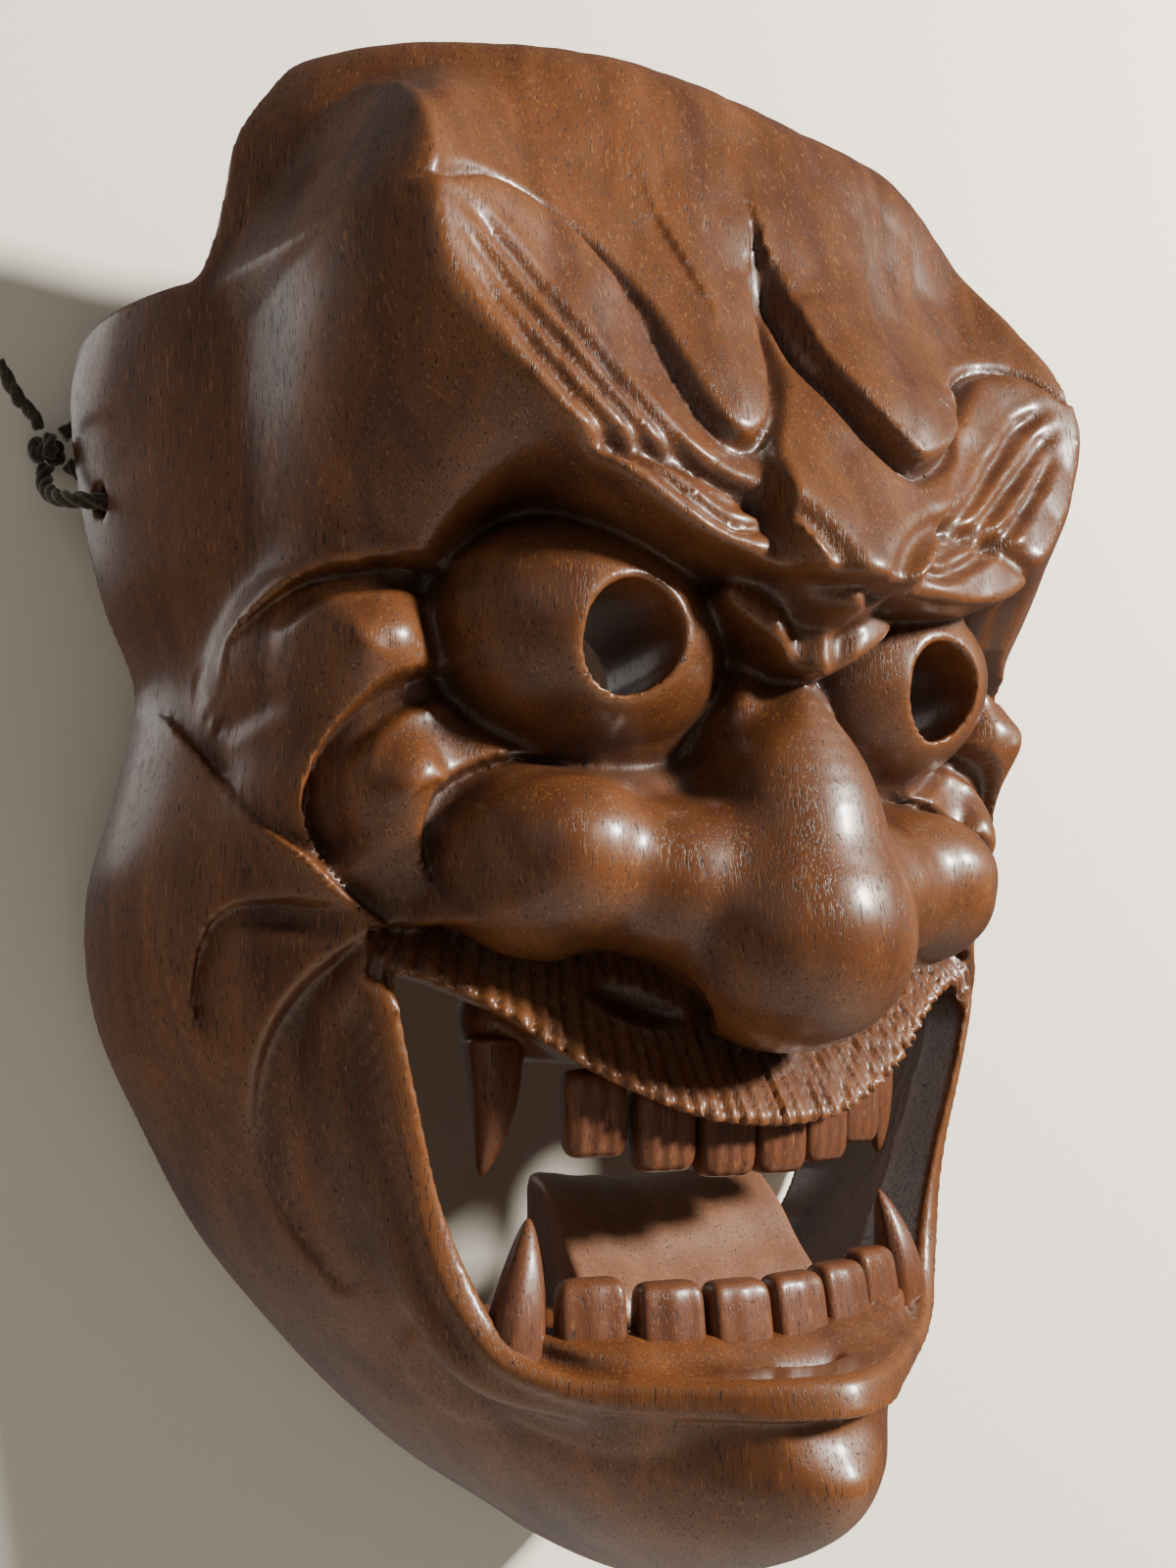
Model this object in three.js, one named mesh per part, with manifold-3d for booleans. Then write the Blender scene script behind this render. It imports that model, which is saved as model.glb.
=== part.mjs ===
// A carved wooden demon mask of the noh kind, with its hanging cord.
// Millimetres, +Z up, the face looks along -Y and its back rim lies in a plane of constant Y.
// The origin is the point on the wall hook that the hanging cord bears on.
import * as THREE from "three";
import { mergeVertices } from "three/addons/utils/BufferGeometryUtils.js";
import Module from "manifold-3d";

const wasm = await Module();
wasm.setup();

// Driving dimensions.
const faceWidth = 190; // across the temples, at the back rim
const faceHeight = 252; // crown to chin
const faceDepth = 83; // back rim to the front of the chin, without nose or brows
const wall = 9; // thickness of the carved bowl
const crownThickness = 10; // wood between the hollow and the crown
const hookHeight = 152; // hook above the line through the eyes
const eyeSpacing = 59.4;
const eyeHoleDiameter = 15.4;
const eyeballWidth = 50;
const eyeballHeight = 41;
const eyeballDepth = 52;
const noseWidth = 98;
const noseLength = 58; // eye line to the underside of the tip
const noseReach = 22; // tip in front of the bowl
const browReach = 15;
const centreLobeReach = 29; // the forehead's middle lobe in front of the bowl
const mouthWidth = 106;
const mouthTop = 66; // below the eye line, at the middle of the upper lip
const mouthBottom = 99;
const toothCount = 6; // in each row
const upperToothWidth = 9.8;
const lowerToothWidth = 10.3;
const upperToothHeight = 13;
const lowerToothHeight = 11;
const toothThickness = 8;
const upperFangLength = 20;
const lowerFangLength = 19;
const fangDiameter = 10;
const tongueWidth = 46;
const cordDiameter = 3;
const cordHoleDiameter = 5.2;
const clearance = 0.3; // between any two pieces that touch

// The bowl in level sections, from the chin up: level above the eye line, half-width at the back
// rim and depth in front as shares of faceHeight, faceWidth / 2 and faceDepth, and the exponent
// of the section's curve, where 2 is an ellipse.
const sections = [
  [-0.552, 0.1, 0.36, 2.0],
  [-0.535, 0.22, 0.64, 2.1],
  [-0.488, 0.38, 0.9, 2.2],
  [-0.437, 0.5, 1.0, 2.3],
  [-0.389, 0.605, 0.97, 2.2],
  [-0.342, 0.69, 0.93, 2.1],
  [-0.266, 0.8, 0.91, 2.0],
  [-0.204, 0.865, 0.9, 2.0],
  [-0.125, 0.9, 0.89, 2.1],
  [-0.044, 0.872, 0.85, 2.3],
  [0.02, 0.852, 0.83, 2.4],
  [0.08, 0.915, 0.86, 2.2],
  [0.159, 0.97, 0.9, 2.1],
  [0.238, 0.995, 0.94, 2.1],
  [0.29, 0.975, 0.95, 2.3],
  [0.357, 0.9, 0.91, 2.5],
  [0.417, 0.79, 0.83, 2.5],
  [0.448, 0.7, 0.745, 2.4],
];
const flapTop = 70; // the ear flaps end here, and the forehead's back edge starts
const foreheadSetback = 36; // the forehead's back edge in front of the back rim
const foreheadLean = 11; // how much further forward that edge is at the crown

const halfWidth = faceWidth / 2;

// A value of the sections table at a level, on a smooth curve through its rows.
function sectionValue(level, column) {
  const share = level / faceHeight;
  const last = sections.length - 1;
  let i = 0;
  while (i < last - 1 && share > sections[i + 1][0]) i += 1;
  const row = (k) => sections[Math.min(Math.max(k, 0), last)];
  const span = row(i + 1)[0] - row(i)[0];
  const t = THREE.MathUtils.clamp((share - row(i)[0]) / span, 0, 1);
  const slope = (k) => {
    const run = row(k + 1)[0] - row(k - 1)[0];
    return (span * (row(k + 1)[column] - row(k - 1)[column])) / run;
  };
  const [a, b] = [row(i)[column], row(i + 1)[column]];
  const blendIn = t * (1 - t) * (1 - t) * slope(i);
  const blendOut = t * t * (1 - t) * slope(i + 1);
  return a + (b - a) * t * t * (3 - 2 * t) + blendIn - blendOut;
}

// How far in front of the back rim the bowl's surface is, at a place across and a level.
function skin(across, level) {
  const power = sectionValue(level, 3);
  const share = Math.min(Math.abs(across) / (halfWidth * sectionValue(level, 1)), 1);
  return -faceDepth * sectionValue(level, 2) * Math.pow(1 - Math.pow(share, power), 1 / power);
}

function solidOf(geometry) {
  geometry.deleteAttribute("normal");
  geometry.deleteAttribute("uv");
  const merged = mergeVertices(geometry, 1e-4);
  const mesh = new wasm.Mesh({
    numProp: 3,
    vertProperties: new Float32Array(merged.attributes.position.array),
    triVerts: new Uint32Array(merged.index.array),
  });
  return new wasm.Manifold(mesh);
}

function geometryOf(solid) {
  const mesh = solid.getMesh();
  const geometry = new THREE.BufferGeometry();
  geometry.setAttribute("position", new THREE.BufferAttribute(mesh.vertProperties, 3));
  geometry.setIndex(new THREE.BufferAttribute(mesh.triVerts, 1));
  geometry.computeVertexNormals();
  return geometry;
}

const join = (solids) => solids.reduce((whole, solid) => whole.add(solid));

// A lofted bowl solid, set in from the outside by the given inset and reaching back to a plane.
function bowl(inset, top, back, around, rings) {
  const bottom = sections[0][0] * faceHeight + 1.5 * inset;
  const geometry = new THREE.CylinderGeometry(1, 1, 1, around, rings);
  const place = geometry.attributes.position;
  for (let i = 0; i < place.count; i += 1) {
    const radius = Math.hypot(place.getX(i), place.getZ(i));
    const angle = Math.atan2(place.getX(i), place.getZ(i));
    const level = bottom + (place.getY(i) + 0.5) * (top - bottom);
    const across = halfWidth * sectionValue(level, 1) - inset;
    const front = faceDepth * sectionValue(level, 2) - inset;
    const power = 2 / sectionValue(level, 3);
    const [run, rise] = [Math.cos(angle), Math.sin(angle)];
    if (radius < 0.5) place.setXYZ(i, 0, -front / 2, level);
    else if (rise < 1e-6) place.setXYZ(i, across * run, back, level);
    else {
      const x = across * Math.sign(run) * Math.pow(Math.abs(run), power);
      place.setXYZ(i, x, -front * Math.pow(rise, power), level);
    }
  }
  return outwards(geometry);
}

// A closed solid of the geometry with its faces turned outwards.
function outwards(geometry) {
  const solid = solidOf(geometry);
  if (solid.volume() > 0) return solid;
  const index = geometry.index.array;
  for (let i = 0; i < index.length; i += 3) [index[i], index[i + 1]] = [index[i + 1], index[i]];
  return solidOf(geometry);
}

// An ellipsoid of given half-axes, turned about the Y axis (roll) and the Z axis (yaw).
function lump(centre, halfAxes, roll = 0, yaw = 0, around = 16, rings = 9) {
  const geometry = new THREE.SphereGeometry(1, around, rings);
  geometry.scale(...halfAxes);
  geometry.rotateY(roll);
  geometry.rotateZ(yaw);
  geometry.translate(...centre);
  return solidOf(geometry);
}

// A round bar with flat ends along a smooth curve through the points.
function barGeometry(points, radius, sides, steps) {
  const stations = points.map((point) => new THREE.Vector3(...point));
  const curve = new THREE.CatmullRomCurve3(stations, false, "centripetal");
  const section = new THREE.Shape();
  for (let i = 0; i < sides; i += 1) {
    const angle = (2 * Math.PI * i) / sides;
    const corner = [radius * Math.cos(angle), radius * Math.sin(angle)];
    if (i === 0) section.moveTo(...corner);
    else section.lineTo(...corner);
  }
  return new THREE.ExtrudeGeometry(section, { steps, extrudePath: curve });
}

// An upright block cut through the bowl, from a front outline of [across, level] points.
function through(outline, front, back) {
  const shape = new THREE.Shape(outline.map(([x, z]) => new THREE.Vector2(x, z)));
  const geometry = new THREE.ExtrudeGeometry(shape, {
    depth: back - front,
    bevelEnabled: false,
  });
  geometry.rotateX(Math.PI / 2);
  geometry.translate(0, back, 0);
  return solidOf(geometry);
}

const bothSides = (make) => [make(-1), make(1)];
const tooFar = 2 * faceWidth;

// Face shell: the bowl with its carved features, before the openings.
const browInner = [13, 14]; // across and level of the brow's inner end
const browTip = [62, 56];
function brow(side) {
  const middle = [(browInner[0] + browTip[0]) / 2, (browInner[1] + browTip[1]) / 2];
  const reach = Math.hypot(browTip[0] - browInner[0], browTip[1] - browInner[1]);
  const slope = Math.atan2(browTip[1] - browInner[1], browTip[0] - browInner[0]);
  const y = skin(middle[0], middle[1]) - browReach + 11;
  const halfAxes = [reach / 2 + 6, 13, 15];
  return lump([side * middle[0], y, middle[1] + 5], halfAxes, -side * slope, side * 0.16);
}

function foreheadLobe(side) {
  return lump([side * 25, skin(25, 62) + 6, 62], [31, 17, 38], side * 0.35, side * 0.2);
}

const centreLobe = lump([0, skin(0, 25), 26], [17, centreLobeReach, 24]);
const browKnob = lump([0, skin(0, 4) - 1, 3.5], [10, 15.5, 6.5], 0, 0, 12, 8);

const eyeLevel = 3; // the eyeball's middle above the line through the holes
function eyeball(side) {
  const y = skin(eyeSpacing / 2, 0) + 8;
  const halfAxes = [eyeballWidth / 2, eyeballDepth / 2, eyeballHeight / 2];
  return lump([side * (eyeSpacing / 2 + 0.5), y, eyeLevel], halfAxes, side * -0.25, 0);
}

function ala(side) {
  const across = noseWidth / 2 - 18;
  return lump([side * across, skin(across, -30) + 1.5, 28 - noseLength], [19, 17, 13.5], side * 0.2);
}

const noseTip = lump([0, -faceDepth * 0.88, 18 - noseLength], [19, noseReach - 2.5, 17.5]);
const noseRidge = lump([0, -faceDepth * 0.84, 40 - noseLength], [15, noseReach - 4, 27]);

function cheek(side, across, level, halfAxes) {
  return lump([side * across, skin(across, level) + halfAxes[1] - 5, level], halfAxes, side * 0.3);
}

// The lips: a thick moustache over the mouth and a thin raised rim round the rest.
const mouthCorner = [mouthWidth / 2 + 2, -46];
const chinCorner = [mouthWidth / 2 - 12, -mouthBottom - 1];
function onSkin([x, z], proud) {
  return [x, skin(x, z) - proud, z];
}
const moustachePath = [
  onSkin([-mouthCorner[0] + 4, mouthCorner[1] + 3], -2),
  onSkin([-mouthCorner[0] / 2, -mouthTop + 12], -1),
  onSkin([0, -mouthTop + 4], -2),
  onSkin([mouthCorner[0] / 2, -mouthTop + 12], -1),
  onSkin([mouthCorner[0] - 4, mouthCorner[1] + 3], -2),
];
const moustache = solidOf(barGeometry(moustachePath, 7.5, 8, 14));
const lipPath = [
  onSkin([-mouthCorner[0], mouthCorner[1]], -2),
  onSkin([-mouthCorner[0] + 5, -mouthTop - 6], -2),
  onSkin([-chinCorner[0], chinCorner[1] + 3], -1.5),
  onSkin([-chinCorner[0] / 2, chinCorner[1] - 2], -1.5),
  onSkin([0, chinCorner[1] - 2], -1.5),
  onSkin([chinCorner[0] / 2, chinCorner[1] - 2], -1.5),
  onSkin([chinCorner[0], chinCorner[1] + 3], -1.5),
  onSkin([mouthCorner[0] - 5, -mouthTop - 6], -2),
  onSkin([mouthCorner[0], mouthCorner[1]], -2),
];
const lip = solidOf(barGeometry(lipPath, 4, 6, 28));

// Dental arch: how far forward the middle of a row of teeth is, at a place across.
const upperArch = (across) => -62 + across * across * 0.0075;
const lowerArch = (across) => -64 + across * across * 0.0095;

// The gums are ledges inside the mouth that the teeth stand on.
const upperGumLevel = -mouthTop + 3.5;
const lowerGumLevel = -mouthBottom - 1;
function gum(arch, level, reach, radius) {
  const path = [-1, -0.5, 0, 0.5, 1].map((share) => {
    const across = share * reach;
    return [across, arch(across) - 1, level + Math.abs(share) * 3];
  });
  return solidOf(barGeometry(path, radius, 6, 10));
}

const mouthOutline = [
  [-mouthCorner[0] + 3, mouthCorner[1] + 1],
  [-mouthCorner[0] / 2 - 2, -mouthTop + 10],
  [-mouthCorner[0] / 4, -mouthTop + 2],
  [0, -mouthTop],
  [mouthCorner[0] / 4, -mouthTop + 2],
  [mouthCorner[0] / 2 + 2, -mouthTop + 10],
  [mouthCorner[0] - 3, mouthCorner[1] + 1],
  [mouthCorner[0] - 3, mouthCorner[1] - 8],
  [mouthCorner[0] - 9, -mouthTop - 12],
  [chinCorner[0] - 2, -mouthBottom + 4],
  [chinCorner[0] - 8, -mouthBottom],
  [-chinCorner[0] + 8, -mouthBottom],
  [-chinCorner[0] + 2, -mouthBottom + 4],
  [-mouthCorner[0] + 9, -mouthTop - 12],
  [-mouthCorner[0] + 3, mouthCorner[1] - 8],
];

const crown = sections[sections.length - 1][0] * faceHeight;
const outside = join([
  bowl(0, crown, 0, 48, 26),
  ...bothSides(brow),
  ...bothSides(foreheadLobe),
  centreLobe,
  browKnob,
  ...bothSides(eyeball),
  ...bothSides(ala),
  noseTip,
  noseRidge,
  ...bothSides((side) => cheek(side, 57, -3, [21, 17, 24])),
  ...bothSides((side) => cheek(side, 51, -24, [19, 15, 21])),
  moustache,
  lip,
]);

const hollow = bowl(wall, crown - crownThickness, 4, 32, 15);

// The wedge behind the forehead, above the ear flaps, that the carver cut away.
function behindForehead() {
  const shape = new THREE.Shape([
    new THREE.Vector2(tooFar, flapTop - 4),
    new THREE.Vector2(4 - foreheadSetback, flapTop),
    new THREE.Vector2(-foreheadSetback, flapTop + 5),
    new THREE.Vector2(-foreheadSetback - foreheadLean, crown),
    new THREE.Vector2(-foreheadSetback - foreheadLean, tooFar),
    new THREE.Vector2(tooFar, tooFar),
  ]);
  const geometry = new THREE.ExtrudeGeometry(shape, { depth: 2 * tooFar, bevelEnabled: false });
  geometry.rotateX(Math.PI / 2);
  geometry.rotateZ(Math.PI / 2);
  geometry.translate(-tooFar, 0, 0);
  return outwards(geometry);
}

function drill(centre, direction, diameter, length, sides = 16) {
  const geometry = new THREE.CylinderGeometry(diameter / 2, diameter / 2, length, sides);
  const turn = new THREE.Quaternion();
  turn.setFromUnitVectors(new THREE.Vector3(0, 1, 0), new THREE.Vector3(...direction).normalize());
  geometry.applyQuaternion(turn);
  geometry.translate(...centre);
  return solidOf(geometry);
}

const eyeHole = (side) =>
  drill([(side * eyeSpacing) / 2, -faceDepth / 2, 0], [0, 1, 0], eyeHoleDiameter, tooFar);
const nostril = (side) =>
  lump([side * 20, -faceDepth * 0.93, 13 - noseLength], [8.5, 8, 5], side * 0.25, 0, 12, 8);

const cordHoleLevel = 35;
const cordHoleForward = -10;
const cordHole = (side) =>
  drill([side * (halfWidth - 8), cordHoleForward, cordHoleLevel], [1, 0, 0], cordHoleDiameter, 40, 12);

// Teeth, fangs and tongue. Each maker takes how much to grow the piece, so that the same maker
// cuts its seat in the gum with the clearance all round.
function barrel(centre, size, grow) {
  const geometry = new THREE.CylinderGeometry(0.5, 0.5, 1, 10, 4);
  const place = geometry.attributes.position;
  for (let i = 0; i < place.count; i += 1) {
    const swell = 1 - 0.55 * place.getY(i) * place.getY(i);
    place.setX(i, place.getX(i) * swell);
    place.setZ(i, place.getZ(i) * swell);
  }
  geometry.rotateX(Math.PI / 2);
  geometry.scale(size[0] + 2 * grow, size[1] + 2 * grow, size[2] + 2 * grow);
  geometry.translate(...centre);
  return solidOf(geometry);
}

const toothPlace = (index, width) => (index - (toothCount - 1) / 2) * width;
function upperTooth(index, grow) {
  const x = toothPlace(index, upperToothWidth);
  const level = upperGumLevel - upperToothHeight / 2 + x * x * 0.006;
  const size = [upperToothWidth - clearance, toothThickness, upperToothHeight];
  return barrel([x, upperArch(x), level], size, grow);
}
function lowerTooth(index, grow) {
  const x = toothPlace(index, lowerToothWidth);
  const level = lowerGumLevel + lowerToothHeight / 2 + x * x * 0.002;
  const size = [lowerToothWidth - clearance, toothThickness, lowerToothHeight];
  return barrel([x, lowerArch(x), level], size, grow);
}

// A fang is a cone with a blunt tip, from a root point towards a tip point.
function fang(root, tip, diameter, grow) {
  const direction = new THREE.Vector3(...tip).sub(new THREE.Vector3(...root));
  const length = direction.length() + 2 * grow;
  const geometry = new THREE.CylinderGeometry(0.8 + grow, diameter / 2 + grow, length, 10, 1);
  const turn = new THREE.Quaternion();
  turn.setFromUnitVectors(new THREE.Vector3(0, 1, 0), direction.normalize());
  geometry.applyQuaternion(turn);
  geometry.translate((root[0] + tip[0]) / 2, (root[1] + tip[1]) / 2, (root[2] + tip[2]) / 2);
  return solidOf(geometry);
}
const upperFangAcross = (toothCount / 2) * upperToothWidth + fangDiameter - 2;
const lowerFangAcross = (toothCount / 2) * lowerToothWidth + fangDiameter - 6.4;
const lowerFangForward = lowerArch(lowerFangAcross) - 1.3;
function upperFang(side, grow) {
  const root = [side * upperFangAcross, -49, -mouthTop + 11];
  const tip = [side * (upperFangAcross + 2), -47, root[2] - upperFangLength];
  return fang(root, tip, fangDiameter, grow);
}
function lowerFang(side, grow) {
  const root = [side * lowerFangAcross, lowerFangForward, -mouthBottom + 1];
  const tip = [side * (lowerFangAcross - 3), lowerFangForward, root[2] + lowerFangLength];
  return fang(root, tip, fangDiameter, grow);
}

// The tongue is a ramp that rises from behind the lower teeth towards the throat.
const tongueFront = lowerArch((tongueWidth + lowerToothWidth) / 2) + toothThickness / 2 + 2 * clearance;
function tongue(grow) {
  const shape = new THREE.Shape([
    new THREE.Vector2(tongueFront - grow, -mouthBottom - 2 - grow),
    new THREE.Vector2(-30 + grow, -mouthBottom - 2 - grow),
    new THREE.Vector2(-30 + grow, -mouthTop - 9 + grow),
    new THREE.Vector2(-44 - grow, -mouthTop - 9 + grow),
    new THREE.Vector2(tongueFront - grow, -mouthBottom + 9 + grow),
  ]);
  const width = tongueWidth + 2 * grow;
  const geometry = new THREE.ExtrudeGeometry(shape, { depth: width, bevelEnabled: false });
  geometry.rotateX(Math.PI / 2);
  geometry.rotateZ(Math.PI / 2);
  geometry.translate(-width / 2, 0, 0);
  return outwards(geometry);
}

// A ledge across the back of the mouth floor carries the tongue.
const floorPath = [-1, -0.5, 0, 0.5, 1].map((share) => [
  share * (chinCorner[0] - 2),
  -47 + 8 * share * share,
  -mouthBottom - 4,
]);
const mouthFloor = solidOf(barGeometry(floorPath, 8, 6, 10));

const toothIndexes = Array.from({ length: toothCount }, (_, index) => index);
const mouthPieces = new Map([
  ...toothIndexes.map((i) => [`upper_tooth_${i + 1}`, (grow) => upperTooth(i, grow)]),
  ...toothIndexes.map((i) => [`lower_tooth_${i + 1}`, (grow) => lowerTooth(i, grow)]),
  ["upper_fang_right", (grow) => upperFang(-1, grow)],
  ["upper_fang_left", (grow) => upperFang(1, grow)],
  ["lower_fang_right", (grow) => lowerFang(-1, grow)],
  ["lower_fang_left", (grow) => lowerFang(1, grow)],
  ["tongue", tongue],
]);

const gums = join([
  gum(upperArch, upperGumLevel + 6, upperFangAcross + 4, 9.5),
  gum(lowerArch, lowerGumLevel - 4, lowerFangAcross + 4, 7.5),
  mouthFloor,
]).intersect(outside);

let faceShell = outside.subtract(hollow).subtract(through(mouthOutline, -tooFar, 4)).add(gums);
faceShell = faceShell.subtract(behindForehead());
for (const side of [-1, 1]) {
  faceShell = faceShell.subtract(eyeHole(side)).subtract(nostril(side)).subtract(cordHole(side));
}
for (const make of mouthPieces.values()) faceShell = faceShell.subtract(make(clearance));

// Keeps the one large body of a cut solid and drops loose chips.
function largest(solid) {
  return solid.decompose().reduce((best, next) => (next.volume() > best.volume() ? next : best));
}

// Hanging cord: one run from the knot behind one ear flap, over the hook, to the other knot.
const cordRadius = cordDiameter / 2;
const spread = halfWidth / 95; // how far the cord's two ends stand apart
const knotRadius = 3.4;
// The knots and loops keep their place on the ear flaps when the mask's width changes.
const flapShift = (halfWidth - 95) * sectionValue(cordHoleLevel, 1);
const knotPlace = (side) => [side * (97 + flapShift), 4.2, 49];
const runPath = [
  [-94.6, 4.2, 52.3],
  [-82, 4.2, 66.5],
  [-66, 4.1, 84.5],
  [-50, 3.9, 102],
  [-34, 3.4, 119.5],
  [-20, 2.6, 135.2],
  [-10, 1.6, 146.2],
  [-4, 0.6, 151.9],
  [0, 0, 153.5],
  [4, 0.6, 151.9],
  [10, 1.6, 146.2],
  [20, 2.6, 135.2],
  [34, 3.4, 119.5],
  [50, 3.9, 102],
  [66, 4.1, 84.5],
  [82, 4.2, 66.5],
  [94.6, 4.2, 52.3],
].map(([x, y, z]) => [x * spread, y, z]);
// The loop round the rim, through the cord hole, from the knot and back to it.
const loopPath = [
  [97.2, 3.6, 45.2],
  [97.4, 1.8, 41.5],
  [96.6, -2, 38],
  [95, -6.5, 35.8],
  [91.5, -9.6, 35],
  [87, -10.2, 35],
  [82.4, -10.2, 35],
  [79, -8.4, 35.3],
  [77.8, -4, 36.2],
  [79.2, 1, 38.2],
  [83.4, 4.0, 41],
  [89.6, 4.3, 44.6],
  [93.6, 4.3, 47.2],
].map(([x, y, z]) => [x + flapShift, y, z]);
const tailPath = [
  [98.7, 3.4, 52.3],
  [100.4, 1.6, 54],
  [102.6, -1, 54.4],
  [105, -3.6, 56.4],
  [107.4, -6, 59],
].map(([x, y, z]) => [x + flapShift, y, z]);
const topKnotPlace = [-12.2 * spread, 1.85, 143.9];
const topTailPath = [
  [-15.8, 2.1, 147],
  [-16.6, 2, 150.4],
  [-16.8, 1.4, 154],
  [-17.8, 0.6, 157.4],
  [-20, 0, 160.4],
].map(([x, y, z]) => [x - 12.2 * (spread - 1), y, z]);
const mirrored = (points, side) => points.map(([x, y, z]) => [side * x, y, z]);

function knotGeometry(centre, radius) {
  const geometry = new THREE.SphereGeometry(radius, 10, 7);
  geometry.scale(1, 0.9, 1.05);
  geometry.translate(...centre);
  return geometry;
}

// A half hitch round the run: a thick ring along the run's slope, clear of the run by 0.4.
function hitchGeometry() {
  const inner = cordRadius + 0.4;
  const profile = [
    [inner, -2.6],
    [inner + 2, -2],
    [inner + 2.4, 0],
    [inner + 2, 2],
    [inner, 2.6],
    [inner, -2.6],
  ];
  const geometry = new THREE.LatheGeometry(profile.map(([r, h]) => new THREE.Vector2(r, h)), 12);
  const slope = new THREE.Vector3(14 * spread, -1, 15.7).normalize();
  const turn = new THREE.Quaternion().setFromUnitVectors(new THREE.Vector3(0, 1, 0), slope);
  geometry.applyQuaternion(turn);
  geometry.translate(...topKnotPlace);
  return geometry;
}

const woodColour = 0x6a3a22;
const toothColour = 0x6e402b;
const cordColour = 0x2b2418;
function material(color, roughness) {
  return new THREE.MeshStandardMaterial({ color, roughness, metalness: 0 });
}
const wood = material(woodColour, 0.42);
const toothWood = material(toothColour, 0.5);
const cordFibre = material(cordColour, 0.85);

const mask = new THREE.Group();
mask.position.z = -hookHeight;
function addPiece(name, geometry, finish) {
  const mesh = new THREE.Mesh(geometry, finish);
  mesh.name = name;
  mask.add(mesh);
}

addPiece("face_shell", geometryOf(largest(faceShell)), wood);
for (const [name, make] of mouthPieces) addPiece(name, geometryOf(make(0)), toothWood);
addPiece("hanging_cord", barGeometry(runPath, cordRadius, 8, 60), cordFibre);
addPiece("cord_hitch", hitchGeometry(), cordFibre);
addPiece("cord_hitch_tail", barGeometry(topTailPath, cordRadius, 8, 6), cordFibre);
for (const [side, word] of [[-1, "right"], [1, "left"]]) {
  addPiece(`rim_loop_${word}`, barGeometry(mirrored(loopPath, side), cordRadius, 8, 24), cordFibre);
  addPiece(`rim_knot_${word}`, knotGeometry(knotPlace(side), knotRadius), cordFibre);
  addPiece(`cord_tail_${word}`, barGeometry(mirrored(tailPath, side), cordRadius, 8, 8), cordFibre);
}

const root = new THREE.Group();
root.add(mask);
export default root;
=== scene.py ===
import math
import bpy
import numpy as np
from mathutils import Matrix, Vector


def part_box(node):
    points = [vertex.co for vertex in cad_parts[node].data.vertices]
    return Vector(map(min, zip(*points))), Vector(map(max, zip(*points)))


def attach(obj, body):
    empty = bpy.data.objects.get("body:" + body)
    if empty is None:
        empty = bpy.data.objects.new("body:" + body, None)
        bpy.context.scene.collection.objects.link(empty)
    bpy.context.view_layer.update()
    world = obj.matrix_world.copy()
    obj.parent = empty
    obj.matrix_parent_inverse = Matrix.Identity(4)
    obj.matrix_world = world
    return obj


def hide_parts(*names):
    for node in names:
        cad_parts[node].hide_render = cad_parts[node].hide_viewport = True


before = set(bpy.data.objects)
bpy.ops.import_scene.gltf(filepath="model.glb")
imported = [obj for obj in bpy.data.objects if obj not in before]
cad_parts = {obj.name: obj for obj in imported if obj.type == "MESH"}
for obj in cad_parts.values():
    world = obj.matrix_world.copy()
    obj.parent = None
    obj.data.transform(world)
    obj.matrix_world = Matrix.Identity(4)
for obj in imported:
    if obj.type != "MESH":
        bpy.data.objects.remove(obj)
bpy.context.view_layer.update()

# --------------------------------------------------------------------------
# Camera: close to the mask, on its right-hand side and a little below its eyes,
# looking up at it through a wide lens.
# --------------------------------------------------------------------------
CAMERA_PLACE = (-0.1240, -0.2246, -0.2108)
CAMERA_TURN = math.radians(30.83)
CAMERA_UP = math.radians(12.28)
CAMERA_ROLL = math.radians(-1.03)
CAMERA_LENS = 29.77

ahead = Vector((
    math.sin(CAMERA_TURN) * math.cos(CAMERA_UP),
    math.cos(CAMERA_TURN) * math.cos(CAMERA_UP),
    math.sin(CAMERA_UP),
))
level = Vector((math.cos(CAMERA_TURN), -math.sin(CAMERA_TURN), 0))
upward = level.cross(ahead)
across = level * math.cos(CAMERA_ROLL) + upward * math.sin(CAMERA_ROLL)
upright = upward * math.cos(CAMERA_ROLL) - level * math.sin(CAMERA_ROLL)
camera = bpy.data.objects.new("camera", bpy.data.cameras.new("camera"))
camera.data.sensor_width = 36
camera.data.lens = CAMERA_LENS
camera.data.clip_start = 0.01
camera.matrix_world = Matrix((
    (across.x, upright.x, -ahead.x, CAMERA_PLACE[0]),
    (across.y, upright.y, -ahead.y, CAMERA_PLACE[1]),
    (across.z, upright.z, -ahead.z, CAMERA_PLACE[2]),
    (0, 0, 0, 1),
))
bpy.context.scene.collection.objects.link(camera)
bpy.context.scene.camera = camera

# --------------------------------------------------------------------------
# Hanging cord: one length of dark, tightly laid three-strand cord, tied through
# a hole in each ear flap and hung over a hook in the wall behind the forehead.
# --------------------------------------------------------------------------
HOOK_HEIGHT = 0.152
CORD_DIAMETER = 0.003
CORD_STRANDS = 3
STRAND_LAY = 0.0095
CORD_DARK = (0.016, 0.012, 0.007, 1)
CORD_LIGHT = (0.085, 0.064, 0.036, 1)


def in_row(points):
    """Face coordinates in millimetres (level with the eyes, from the back plane) to the row frame."""
    return np.array(points, float) / 1000 - np.array([0, 0, HOOK_HEIGHT])


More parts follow.
